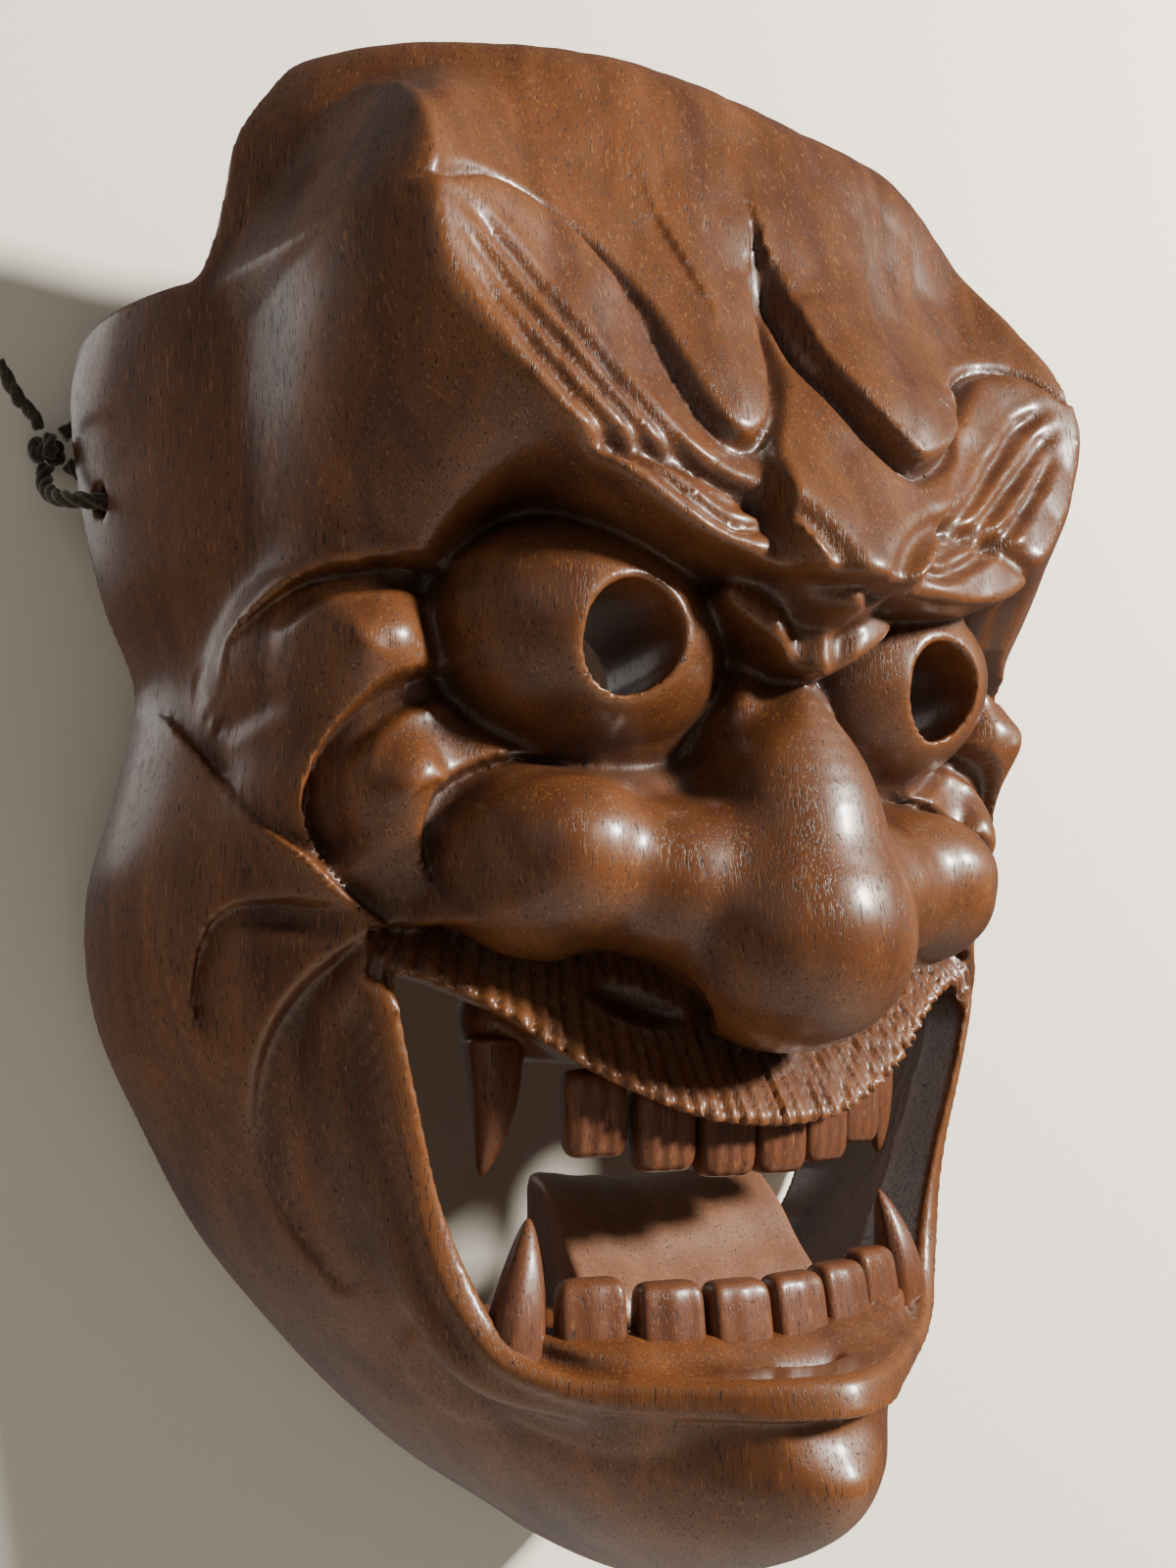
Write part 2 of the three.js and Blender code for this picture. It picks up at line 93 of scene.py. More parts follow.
def drawn(points, closed=False, steps=8):
    """A smooth line through the points, in any number of dimensions."""
    known = np.array(points, float)
    if closed:
        known = np.vstack([known[-1], known, known[0], known[1]])
    else:
        known = np.vstack([2 * known[0] - known[1], known, 2 * known[-1] - known[-2]])
    t = np.linspace(0, 1, steps, endpoint=False)[:, None]
    made = []
    for before, start, end, after in zip(known, known[1:], known[2:], known[3:]):
        made.append(0.5 * (2 * start + (end - before) * t + (2 * before - 5 * start + 4 * end - after)
                           * t ** 2
                           + (3 * start - before - 3 * end + after) * t ** 3))
    made.append(known[1:2] if closed else known[-2:-1])
    return np.vstack(made)


def smooth_line(points, step):
    """A smooth line through the points, with evenly spaced steps."""
    made = drawn(points, steps=24)
    run = np.concatenate([[0], np.cumsum(np.linalg.norm(np.diff(made, axis=0), axis=1))])
    even = np.linspace(0, run[-1], max(2, round(run[-1] / step) + 1))
    return np.stack([np.interp(even, run, made[:, i]) for i in range(3)], axis=1)


def new_piece(name, points, faces, material, slot):
    """A mesh piece that goes with the mask."""
    mesh = bpy.data.meshes.new(name)
    corners = faces if isinstance(faces, list) else faces.tolist()
    mesh.from_pydata(np.asarray(points).tolist(), [], corners)
    mesh.validate()
    mesh.polygons.foreach_set("use_smooth", [True] * len(mesh.polygons))
    mesh.materials.append(material)
    piece = bpy.data.objects.new(name, mesh)
    bpy.context.scene.collection.objects.link(piece)
    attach(piece, "root")
    return piece


def laid_cord(line, diameter, start_taper=1.0, end_taper=1.0, around=24):
    """Points and faces of a laid cord: the outline of its strands, turning as it runs."""
    line = np.array(line)
    heading = np.gradient(line, axis=0)
    heading /= np.linalg.norm(heading, axis=1)[:, None]
    side = np.cross(heading[0], (0.3, 1, 0.2))
    sides = []
    for direction in heading:
        side = side - direction * (side @ direction)
        side = side / np.linalg.norm(side)
        sides.append(side)
    sides = np.array(sides)
    others = np.cross(heading, sides)
    run = np.concatenate([[0], np.cumsum(np.linalg.norm(np.diff(line, axis=0), axis=1))])
    angle = np.linspace(0, 2 * math.pi, around, endpoint=False)
    strand = diameter * 0.26
    offset = diameter / 2 - strand
    lobe = (angle * CORD_STRANDS + math.pi) % (2 * math.pi) / CORD_STRANDS - math.pi / CORD_STRANDS
    reach = offset * np.cos(lobe) + np.sqrt(strand ** 2 - (offset * np.sin(lobe)) ** 2)
    points = []
    for i, centre in enumerate(line):
        share = run[i] / run[-1]
        taper = start_taper + (1 - start_taper) * min(1, share * 6)
        taper *= end_taper + (1 - end_taper) * min(1, (1 - share) * 6)
        turned = angle + 2 * math.pi * run[i] / STRAND_LAY
        points.append(centre + (reach * taper)[:, None] * (
            np.cos(turned)[:, None] * sides[i] + np.sin(turned)[:, None] * others[i]))
    points = np.vstack(points)
    faces = []
    for i in range(len(line) - 1):
        for j in range(around):
            a, b = i * around + j, i * around + (j + 1) % around
            faces.append((a, b, b + around, a + around))
    faces.append(tuple(range(around))[::-1])
    faces.append(tuple(range(len(points) - around, len(points))))
    return points, faces


def socket(group, name, kind, way="INPUT", value=None):
    made = group.interface.new_socket(name, in_out=way, socket_type=kind)
    if value is not None:
        made.default_value = value
    return made


class Nodes:
    """Adds nodes and links to one node tree."""

    def __init__(self, tree):
        self.tree = tree

    def add(self, kind, inputs=None, **settings):
        node = self.tree.nodes.new(kind)
        for name, value in settings.items():
            setattr(node, name, value)
        for name, value in (inputs or {}).items():
            if isinstance(value, bpy.types.NodeSocket):
                self.tree.links.new(value, node.inputs[name])
            else:
                node.inputs[name].default_value = value
        return node

    def maths(self, operation, a, b=0.0, clamp=False):
        node = self.add("ShaderNodeMath", {0: a, 1: b}, operation=operation, use_clamp=clamp)
        return node.outputs[0]

    def blend(self, factor, a, b):
        node = self.tree.nodes.new("ShaderNodeMix")
        node.data_type = "RGBA"
        for socket_in, value in ((node.inputs[0], factor), (node.inputs[6], a), (node.inputs[7], b)):
            if isinstance(value, bpy.types.NodeSocket):
                self.tree.links.new(value, socket_in)
            else:
                socket_in.default_value = value
        return node.outputs[2]

    def ramp(self, value, low, high, out_low=0.0, out_high=1.0):
        node = self.add("ShaderNodeMapRange", {0: value, 1: low, 2: high, 3: out_low, 4: out_high})
        return node.outputs[0]


def new_material(name, roughness, coat=0.0, coat_roughness=0.2, sheen=0.0, specular=0.5):
    """A material with its shader's constant sockets set, and a helper to add its nodes."""
    material = bpy.data.materials.new(name)
    material.use_nodes = True
    shader = material.node_tree.nodes["Principled BSDF"]
    shader.inputs["Roughness"].default_value = roughness
    shader.inputs["Coat Weight"].default_value = coat
    shader.inputs["Coat Roughness"].default_value = coat_roughness
    shader.inputs["Sheen Weight"].default_value = sheen
    shader.inputs["Specular IOR Level"].default_value = specular
    return material, Nodes(material.node_tree), shader


cord_fibre, add, shader = new_material("cord_fibre", 0.75, sheen=0.4, specular=0.3)
place = add.add("ShaderNodeTexCoord").outputs["Object"]
fuzz = add.add("ShaderNodeTexNoise", {"Vector": place, "Scale": 1400.0, "Detail": 3.0}).outputs[0]
wear = add.add("ShaderNodeTexNoise", {"Vector": place, "Scale": 160.0, "Detail": 2.0}).outputs[0]
tint = add.maths("MULTIPLY", add.ramp(fuzz, 0.35, 0.7), add.ramp(wear, 0.3, 0.7, 0.35, 1.0))
add.tree.links.new(add.blend(tint, CORD_DARK, CORD_LIGHT), shader.inputs["Base Color"])
bump = add.add("ShaderNodeBump", {"Height": fuzz, "Strength": 0.6, "Distance": 0.0003})
add.tree.links.new(bump.outputs[0], shader.inputs["Normal"])

half_run = [
    (94.6, 4.2, 52.3), (82, 4.2, 66.5), (66, 4.1, 84.5), (50, 3.9, 102), (34, 3.4, 119.5),
    (20, 2.6, 135.2), (10, 1.6, 146.2), (4, 0.6, 151.9),
]
whole_run = [(-x, y, z) for x, y, z in half_run] + [(0, 0, 153.5)] + half_run[::-1]
run_line = smooth_line(in_row(whole_run), 0.0006)
hanging_cord = new_piece("hung_cord", *laid_cord(run_line, CORD_DIAMETER), cord_fibre, "cord_fibre")
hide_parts("hanging_cord")

HITCH_CENTRE = (-12.2, 1.85, 143.9)
HITCH_AXIS = (14, -1, 15.7)
HITCH_RADIUS = 2.45
HITCH_LENGTH = 3.6
HITCH_TURNS = 2.2
HITCH_CORD = 0.0021
CORD_END_DIAMETER = 0.0026


def turns_round(centre, axis, radius, length, turns, diameter):
    """A few tight turns of cord round a running cord."""
    axis = np.array(axis, float) / np.linalg.norm(axis)
    side = np.cross(axis, (0, 1, 0))
    side /= np.linalg.norm(side)
    other = np.cross(axis, side)
    t = np.linspace(0, 1, int(36 * turns) + 1)
    angle = 2 * math.pi * turns * t
    ring = np.array(centre)[None] + axis * ((t - 0.5) * length)[:, None]
    ring = ring + radius * (np.cos(angle)[:, None] * side + np.sin(angle)[:, None] * other)
    return laid_cord(smooth_line(in_row(ring), 0.0005), diameter, 0.6, 0.6, around=15)


hitch_turns = turns_round(HITCH_CENTRE, HITCH_AXIS, HITCH_RADIUS, HITCH_LENGTH, HITCH_TURNS, HITCH_CORD)
hitch = new_piece("cord_hitch_turns", *hitch_turns, cord_fibre, "cord_fibre")
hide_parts("cord_hitch")
hitch_end = smooth_line(in_row([
    (-15.8, 2.1, 147), (-16.6, 2, 150.4), (-16.8, 1.4, 154), (-17.8, 0.6, 157.4), (-20, 0, 160.0)]), 0.0005)
hitch_tail = new_piece("cord_hitch_end", *laid_cord(hitch_end, CORD_END_DIAMETER, 0.7, 0.75), cord_fibre,
                       "cord_fibre")
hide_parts("cord_hitch_tail")

for side, hand in ((-1, "right"), (1, "left")):
    loop = [
        (97.2, 3.6, 45.2), (97.4, 1.8, 41.5), (96.6, -2, 38), (95, -6.5, 35.8), (91.5, -9.6, 35),
        (87, -10.2, 35),
        (82.4, -10.2, 35), (79, -8.4, 35.3), (77.8, -4, 36.2), (79.2, 1, 38.2), (83.4, 4, 41),
        (89.6, 4.3, 44.6),
        (93.6, 4.3, 47.2),
    ]
    loop_line = smooth_line(in_row([(side * x, y, z) for x, y, z in loop]), 0.0006)
    rim_loop = new_piece(f"flap_loop_{hand}", *laid_cord(loop_line, CORD_DIAMETER), cord_fibre,
                         "cord_fibre")
    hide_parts(f"rim_loop_{hand}")
    low, high = (np.array(corner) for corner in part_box(f"rim_knot_{hand}"))
    middle = (low + high) / 2
    knot_radius = (high - low).min() / 2
    t = np.linspace(0, 2 * math.pi, 120)
    turn = 0.62 * knot_radius
    knot_line = middle + np.stack([
        turn * (np.sin(t) + 0.55 * np.sin(2 * t)) / 1.25,
        turn * (np.cos(t) - 0.55 * np.cos(2 * t)) / 1.25,
        -turn * 0.75 * np.sin(3 * t),
    ], axis=1)
    knot_shape = laid_cord(knot_line, knot_radius * 0.78, around=15)
    knot = new_piece(f"flap_knot_{hand}", *knot_shape, cord_fibre, "cord_fibre")
    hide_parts(f"rim_knot_{hand}")
    tail = [(98.7, 3.4, 52.3), (100.4, 1.6, 54), (102.6, -1, 54.4), (105, -3.6, 56.4), (107.0, -5.6, 58.4)]
    tail_line = smooth_line(in_row([(side * x, y, z) for x, y, z in tail]), 0.0005)
    end_shape = laid_cord(tail_line, CORD_END_DIAMETER, 0.8, 0.9)
    frayed_end = new_piece(f"flap_cord_end_{hand}", *end_shape, cord_fibre, "cord_fibre")
    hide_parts(f"cord_tail_{hand}")

# --------------------------------------------------------------------------
# Mask: one block of wood, hollowed from behind and carved in deep relief, then
# stained red brown and varnished to a satin finish, painted paler at its edges as a highlight and darker in
# its hollows as shade.
# Lengths are millimetres from the middle of the eye line and from the back plane.
# --------------------------------------------------------------------------
FACE_HEIGHT = 252
FACE_HALF_WIDTH = 95
FACE_DEPTH = 83
WALL = 9
CROWN_LEVEL = 113
CROWN_THICKNESS = 10
CHIN_LEVEL = -138.9
CHIN_FLOOR = -125
FLAP_TOP = 70
CARVING_STEP = 0.8
# level, half width and depth as shares of the face's, and the power of the rounded outline there
LEVELS = np.array([
    (-0.552, 0.06, 0.34, 2.0), (-0.535, 0.12, 0.53, 2.0), (-0.488, 0.30, 0.89, 1.8),
    (-0.437, 0.455, 1.01, 1.6), (-0.389, 0.575, 0.99, 1.65), (-0.342, 0.68, 0.87, 1.9),
    (-0.266, 0.80, 0.88, 2.0), (-0.204, 0.88, 0.90, 2.0), (-0.125, 0.912, 0.89, 2.1),
    (-0.044, 0.872, 0.85, 2.3), (0.02, 0.852, 0.83, 2.4), (0.08, 0.915, 0.86, 2.2),
    (0.159, 0.97, 0.90, 1.95), (0.238, 0.995, 0.94, 1.85), (0.29, 0.975, 0.955, 1.9),
    (0.357, 0.94, 0.92, 2.2), (0.417, 0.86, 0.85, 2.3), (0.448, 0.78, 0.76, 2.3),
])


def face_level(z, column):
    """The bowl's size at a level, on a smooth curve through LEVELS."""
    level, value = LEVELS[:, 0], LEVELS[:, column]
    slope = np.gradient(value, level)
    at = np.clip(z / FACE_HEIGHT, level[0], level[-1])
    i = np.clip(np.searchsorted(level, at) - 1, 0, len(level) - 2)
    step = level[i + 1] - level[i]
    t = (at - level[i]) / step
    return ((1 + 2 * t) * (1 - t) ** 2 * value[i] + t * (1 - t) ** 2 * step * slope[i]
            + t * t * (3 - 2 * t) * value[i + 1] + t * t * (t - 1) * step * slope[i + 1])


def soft_least(a, b, round_off):
    t = np.clip(0.5 + 0.5 * (b - a) / round_off, 0, 1)
    return b * (1 - t) + a * t - round_off * t * (1 - t)


def soft_most(a, b, round_off):
    return -soft_least(-a, -b, round_off)


def rise(value, start, end):
    """0 before start, 1 after end, smooth between."""
    t = np.clip((value - start) / (end - start), 0, 1)
    return t * t * (3 - 2 * t)


def from_line(points, x, z, closed=False):
    """Signed distance from a carver's line in front view (left of its run is positive), and how far along."""
    line = drawn(points, closed)
    run = np.concatenate([[0], np.cumsum(np.linalg.norm(np.diff(line, axis=0), axis=1))])
    nearest = np.full(x.shape, 1e9)
    side = np.zeros(x.shape)
    share = np.zeros(x.shape)
    for i, (start, end) in enumerate(zip(line, line[1:])):
        length = run[i + 1] - run[i]
        if length < 1e-6:
            continue
        dx, dz = (end - start) / length
        px, pz = x - start[0], z - start[1]
        t = np.clip(px * dx + pz * dz, 0, length)
        away = np.hypot(px - t * dx, pz - t * dz)
        closer = away < nearest
        nearest = np.where(closer, away, nearest)
        side = np.where(closer, dx * pz - dz * px, side)
        share = np.where(closer, (run[i] + t) / run[-1], share)
    return np.where(side < 0, -nearest, nearest), share


def within(points, x, z):
    """Signed distance from a closed outline in front view: positive inside it."""
    line = drawn(points, closed=True)
    inside = np.zeros(x.shape, bool)
    for (x0, z0), (x1, z1) in zip(line, line[1:]):
        crosses = (z0 > z) != (z1 > z)
        inside ^= crosses & (x < (x1 - x0) * (z - z0) / (z1 - z0 + 1e-12) + x0)
    away, _ = from_line(points, x, z, closed=True)
    return np.where(inside, np.abs(away), -np.abs(away))


def both_sides(points):
    """A line or outline for the mask's left side, and its mirror image."""
    return ((1, points), (-1, [(-p[0], *p[1:]) for p in points]))


class Block:
    """Wood to carve: a block of small cells that hold the distance from the surface, negative in the wood."""

    def __init__(self, low, high, step):
        self.step = step
        self.low = np.array(low, float)
        self.axes = [np.arange(low[i], high[i] + step / 2, step) for i in range(3)]
        self.depth = np.full([len(a) for a in self.axes], 1e3, np.float32)
        self.front_x, self.front_z = np.meshgrid(self.axes[0], self.axes[2], indexing="ij")

    def part(self, low, high):
        span = [slice(max(np.searchsorted(a, lo) - 1, 0), min(np.searchsorted(a, hi) + 1, len(a)))
                for a, lo, hi in zip(self.axes, low, high)]
        x, y, z = (a[s].astype(np.float32) for a, s in zip(self.axes, span))
        return tuple(span), x[:, None, None], y[None, :, None], z[None, None, :]

    def whole(self):
        return self.part(self.low, self.low + 1e4)

    def put(self, span, shape, blend, cut=False):
        if cut:
            self.depth[span] = soft_most(self.depth[span], -shape, blend)
        else:
            self.depth[span] = soft_least(self.depth[span], shape, blend)

    def lump(self, centre, radii, blend=3.0, lean=0.0, cut=False):
        """Adds or cuts a rounded lump. lean turns it in front view."""
        centre = np.array(centre, float)
        reach = max(radii) + 2 * blend + 2
        span, x, y, z = self.part(centre - reach, centre + reach)
        x, y, z = x - centre[0], y - centre[1], z - centre[2]
        x, z = x * math.cos(lean) + z * math.sin(lean), z * math.cos(lean) - x * math.sin(lean)
        a, b, c = radii
        near = np.sqrt((x / a) ** 2 + (y / b) ** 2 + (z / c) ** 2) + 1e-6
        slope = np.sqrt((x / a ** 2) ** 2 + (y / b ** 2) ** 2 + (z / c ** 2) ** 2) + 1e-6
        self.put(span, near * (near - 1) / slope, blend, cut)

    def bar(self, points, radii, blend=3.0, cut=False):
        """Adds or cuts a round bar of changing radius along a smooth line."""
        line = drawn(np.column_stack([np.array(points, float), np.array(radii, float)]), steps=6)
        reach = line[:, 3].max() + 2 * blend + 2
        span, x, y, z = self.part(line[:, :3].min(0) - reach, line[:, :3].max(0) + reach)
        shape = np.full(np.broadcast(x, y, z).shape, 1e9, np.float32)
        for start, end in zip(line, line[1:]):
            dx, dy, dz = end[:3] - start[:3]
            t = ((x - start[0]) * dx + (y - start[1]) * dy + (z - start[2]) * dz) / (dx * dx + dy * dy
                    + dz * dz + 1e-9)
            t = np.clip(t, 0, 1)
            away = np.sqrt((x - start[0] - t * dx) ** 2 + (y - start[1] - t * dy) ** 2
                           + (z - start[2] - t * dz) ** 2)
            shape = np.minimum(shape, away - start[3] - t * (end[3] - start[3]))
        self.put(span, shape, blend, cut)

    def press(self, relief):
        """Moves the front out by the relief, straight towards the carver."""
        count = len(self.axes[1])
        at = np.clip(np.arange(count)[None, :, None] + relief[:, None, :] / self.step, 0, count - 1.001)
        cell = at.astype(int)
        share = (at - cell).astype(np.float32)
        near = np.take_along_axis(self.depth, cell, axis=1)
        self.depth = near + (np.take_along_axis(self.depth, cell + 1, axis=1) - near) * share

    def read(self, field, points):
        """The value of a field of the block's cells at some points."""
        at = (points - self.low) / self.step
        cell = np.clip(np.floor(at).astype(int), 0, np.array(field.shape) - 2)
        t = np.clip(at - cell, 0, 1)
        i, j, k = cell.T
        total = 0
        for a, b, c in ((a, b, c) for a in (0, 1) for b in (0, 1) for c in (0, 1)):
            share = np.abs(1 - a - t[:, 0]) * np.abs(1 - b - t[:, 1]) * np.abs(1 - c - t[:, 2])
            total = total + share * field[i + a, j + b, k + c]
        return total

    def facing(self, points, reach):
        """Which way the surface faces at some points."""
        slope = np.stack([self.read(self.depth, points + reach * unit)
                          - self.read(self.depth, points - reach * unit)
                          for unit in np.eye(3)], axis=1)
        return slope / (2 * reach)

    def hollows(self, reach):
        """How much wood there is round each cell: over a half in hollows, under a half on edges."""
        wood = np.clip(0.5 - self.depth / self.step, 0, 1)
        width = max(1, round(reach / self.step))
        for _ in range(2):
            for axis in range(3):
                padded = np.concatenate([np.repeat(np.take(wood, [0], axis), width + 1, axis), wood,
                                         np.repeat(np.take(wood, [-1], axis), width, axis)], axis)
                total = np.cumsum(padded, axis, dtype=np.float64)
                count = wood.shape[axis]
                upper = np.take(total, np.arange(count) + 2 * width + 1, axis)
                lower = np.take(total, np.arange(count), axis)
                wood = ((upper - lower) / (2 * width + 1)).astype(np.float32)
        return wood

    def surface(self):
        """Points and four-sided faces on the carved surface, facing out."""
        inside = self.depth < 0
        nx, ny, nz = inside.shape
        filled = sum(inside[i:nx - 1 + i, j:ny - 1 + j, k:nz - 1 + k].astype(np.int8)
                     for i in (0, 1) for j in (0, 1) for k in (0, 1))
        cells = np.argwhere((filled > 0) & (filled < 8))
        number = np.full(filled.shape, -1)
        number[tuple(cells.T)] = np.arange(len(cells))
        place, crossings = np.zeros((len(cells), 3)), np.zeros(len(cells))
        faces = []
        for axis in range(3):
            first, second = (i for i in range(3) if i != axis)
            for p, q in ((0, 0), (0, 1), (1, 0), (1, 1)):
                corner = np.zeros(3, int)
                corner[first], corner[second] = p, q
                start = self.depth[tuple((cells + corner).T)].astype(float)
                at = corner.astype(float)
                corner[axis] += 1
                end = self.depth[tuple((cells + corner).T)].astype(float)
                crosses = (start < 0) != (end < 0)
                spot = np.tile(at, (len(cells), 1))
                spot[:, axis] = np.where(crosses, start / np.where(crosses, start - end, 1), 0)
                place += spot * crosses[:, None]
                crossings += crosses
            low_side, high_side = [slice(None)] * 3, [slice(None)] * 3
            low_side[axis], high_side[axis] = slice(0, -1), slice(1, None)
            edges = np.argwhere(inside[tuple(low_side)] != inside[tuple(high_side)])
            u, v = np.zeros(3, int), np.zeros(3, int)
            u[first], v[second] = 1, 1
            four = np.stack([number[tuple((edges - offset).T)] for offset in (u + v, v, 0 * u, u)], axis=1)
            outward = inside[tuple(low_side)][tuple(edges.T)] ^ (axis == 1)
            faces.append(np.where(outward[:, None], four, four[:, ::-1]))
        points = (cells + place / crossings[:, None]) * self.step + self.low
        for _ in range(3):
            slope = self.facing(points, self.step * 0.5)
            move = self.read(self.depth, points)[:, None] * slope / ((slope ** 2).sum(1)[:, None] + 0.05)
            points -= np.clip(move, -self.step * 0.4, self.step * 0.4)
        return points, np.vstack(faces)


def carved_piece(name, block, material, slot):
    """The carved block as a piece, with how hollow and how edge-like it is at each point."""
    points, faces = block.surface()
    piece = new_piece(name, in_row(points), faces, material, slot)
    # hollow and deep set the painted shade in the wood's colour, edge sets its painted highlight
    for mark, reach, low, high in (("hollow", 4.0, 0.5, 0.8), ("edge", 1.5, 0.5, 0.3),
                                   ("deep", 9.0, 0.5, 0.85)):
        fill = block.read(block.hollows(max(reach, block.step)), points)
        painted_highlight = np.clip((fill - low) / (high - low), 0, 1)
        layer = piece.data.attributes.new(mark, "FLOAT", "POINT")
        layer.data.foreach_set("value", painted_highlight.astype(np.float32))
    return piece


def tool_cuts(x, z, spacing, depth, seed):
    """Shallow scoops side by side, as a gouge leaves them, in any two directions."""
    draw = np.random.default_rng(seed)
    columns = np.arange(x.min() - spacing, x.max() + spacing, spacing)
    rows = np.arange(z.min() - spacing, z.max() + spacing, spacing * 1.5)
    nearest = np.full(x.shape, 1e9)
    for i, column in enumerate(columns):
        for row in rows:
            cx = column + draw.uniform(-0.35, 0.35) * spacing
            cz = row + (i % 2) * spacing * 0.75 + draw.uniform(-0.45, 0.45) * spacing
            away = (x - cx) ** 2 + ((z - cz) / 1.5) ** 2
            nearest = np.minimum(nearest, away)
    return depth * (1 - np.clip(nearest / (spacing * 0.75) ** 2, 0, 1))

mask = Block((-100, -106, -142), (100, 5, 118), CARVING_STEP)
x2, z2 = mask.front_x, mask.front_z
a2 = np.abs(x2)
everywhere, x3, y3, z3 = mask.whole()


def bowl(block, inset):
    """The plain outside of the bowl, or of its hollow with an inset, open at the back."""
    z = block.axes[2]
    half = np.maximum(FACE_HALF_WIDTH * face_level(z, 1) - inset, 1)
    depth = np.maximum(FACE_DEPTH * face_level(z, 2) - inset, 1)
    power = face_level(z, 3)
    a = np.abs(block.axes[0])[:, None] / half
    b = np.maximum(-block.axes[1], 0)[:, None] / depth
    near = ((a ** power)[:, None, :] + (b ** power)[None, :, :] + 1e-6) ** (1 / power)
    slope = np.hypot((a ** (power - 1) / half)[:, None, :], (b ** (power - 1) / depth)[None, :, :])
    slope = slope * near ** (1 - power)
    return ((near - 1) / np.maximum(slope, 0.004)).astype(np.float32)


mask.depth = bowl(mask, 0)

# --------------------------------------------------------------------------
# Upper lip: a band of combed moustache hair that follows the rows of teeth, carved from
# the same block. The wood over it is first cut back to a sloping face under the nose,
# and each strand is one stroke of a V tool.
# --------------------------------------------------------------------------
MOUSTACHE_EDGE = [(0, -68), (12, -67), (23.5, -63.4), (32, -59.6), (40, -54.8), (48, -49.6), (53, -46.6),
                  (58, -43)]
HAIR_SPACING = 2.5
edge_line = drawn(MOUSTACHE_EDGE)
lip_edge = np.interp(a2, edge_line[:, 0], edge_line[:, 1])
lift = np.maximum(z2 - lip_edge, 0)
hair_lean = x2 + 0.10 * x2 * (lift / 12)
hair = np.abs(np.sin(math.pi * (hair_lean + 0.35 * np.sin(hair_lean * 0.9)) / HAIR_SPACING)) ** 0.75
moustache_arch = -72.5 + 0.05 * a2 + 0.0045 * a2 ** 2
moustache_front = moustache_arch + 0.7 * lift - 0.005 * lift ** 2
moustache_front = moustache_front + 1.5 * (1 - hair) + 0.9 * np.exp(-lift / 0.8)
UNDER_NOSE = -39
LIP_HALF_WIDTH = 58
in_front = y3 - moustache_front[:, None, :]
off_band = np.maximum(z2 - UNDER_NOSE, lip_edge - 3 - z2)[:, None, :]
shade = np.maximum(in_front, off_band)
shade = np.maximum(shade, (a2 - LIP_HALF_WIDTH)[:, None, :]).astype(np.float32)
mask.put(everywhere, shade, 2.0, cut=True)

# --------------------------------------------------------------------------
# Brows: two leaf-shaped masses that overhang the eyes, left standing when the forehead
# is cut back, and undercut along one line from ear to ear.
# --------------------------------------------------------------------------
RIGHT_BROW_EDGE = [(0, 8), (12, 9.5), (27, 13.5), (42, 23.5), (50.5, 31.5), (59.5, 44), (62.5, 55),
                   (66, 62.5), (76, 67.5), (100, 73)]
LEFT_BROW_EDGE = [(0, 8), (12, 9.5), (27, 11), (38, 14.5), (48, 22.5), (56, 33), (61.5, 44), (64.5, 55),
                  (67, 62.5), (76, 67.5), (100, 73)]
brow_line = [(-x, z) for x, z in RIGHT_BROW_EDGE[:0:-1]] + LEFT_BROW_EDGE
above_edge, _ = from_line(brow_line, x2, z2)
edge_drawn = drawn(brow_line)
brow_edge = np.interp(np.clip(x2, -62, 64), edge_drawn[:, 0], edge_drawn[:, 1])
over = np.maximum(z2 - brow_edge, 0)
over_tip = rise(z2, 62, 112) * (x2 < 0)
past_tip = np.maximum(0.95 * (a2 - 63) + np.where(x2 < 0, 0.22, 0.28) * (z2 - 57) + 10 * over_tip, 0)
near_back = 0.9 * rise(z2, 84, 102) * np.maximum(-x2 - 40, 0)
brow_front = near_back - 92 + 0.0018 * a2 ** 2 + 0.12 * over + 0.0032 * over ** 2
brow_front = brow_front + (0.16 - 0.125 * over_tip) * past_tip ** 2
brow = (brow_front[:, None, :] - y3) * 0.9
buttress = 0.75 * rise(a2, 38, 56) * (1 - rise(a2, 66, 82))
buttress = buttress[:, None, :] * np.maximum(y3 + 87, 0)
brow = soft_most(brow, -above_edge[:, None, :] - buttress, 1.6)
mask.put(everywhere, brow.astype(np.float32), 8)

# --------------------------------------------------------------------------
# Cheeks, nose, eyeballs, the knob over the nose and the lower lip: rounded masses of
# the same block, run into each other with a shallow gouge.
# --------------------------------------------------------------------------
for side in (-1, 1):
    mask.lump((side * 58, -43, 1), (18, 22.5, 19), 6)
    mask.lump((side * 56, -43, -20), (17, 20, 18), 5)
    mask.lump((side * 34, -61, -29.5), (16.5, 19, 14.5), 2.5)
    mask.lump((side * 17, -70, -33), (13, 13, 12), 5)
mask.bar([(0, -60, 6), (0, -70, -8), (0, -74, -22), (0, -74, -34)], [9, 11.5, 14.5, 16.5], 5)
mask.lump((0, -73, -40), (19, 20, 17.5), 3)
EYEBALL = (28.5, -57, 4)
EYEBALL_RADII = (24.5, 26, 19)
EYEBALL_LEAN = 0.26
for side in (-1, 1):
    mask.lump((side * EYEBALL[0], EYEBALL[1], EYEBALL[2]), EYEBALL_RADII, 1.2, lean=side * EYEBALL_LEAN)
KNOB = [(-16, 8), (-9, 1.5), (0, -3), (9, 1.5), (16, 8), (8, 12), (-8, 12)]
knob = (-87 + 0.16 * a2 + 0.02 * (z2 - 3) ** 2)[:, None, :] - y3
knob = soft_most(knob * 0.9, -within(KNOB, x2, z2)[:, None, :], 1.5)
mask.put(everywhere, knob.astype(np.float32), 1.5)
mask.lump((32, -53, 94), (24, 19, 17), 8)
LOWER_LIP = [(56, -45, -47), (53, -46, -62), (47, -47.5, -80), (40, -52, -96), (28, -60.5, -101),
             (14, -69, -101.5), (0, -75, -100)]
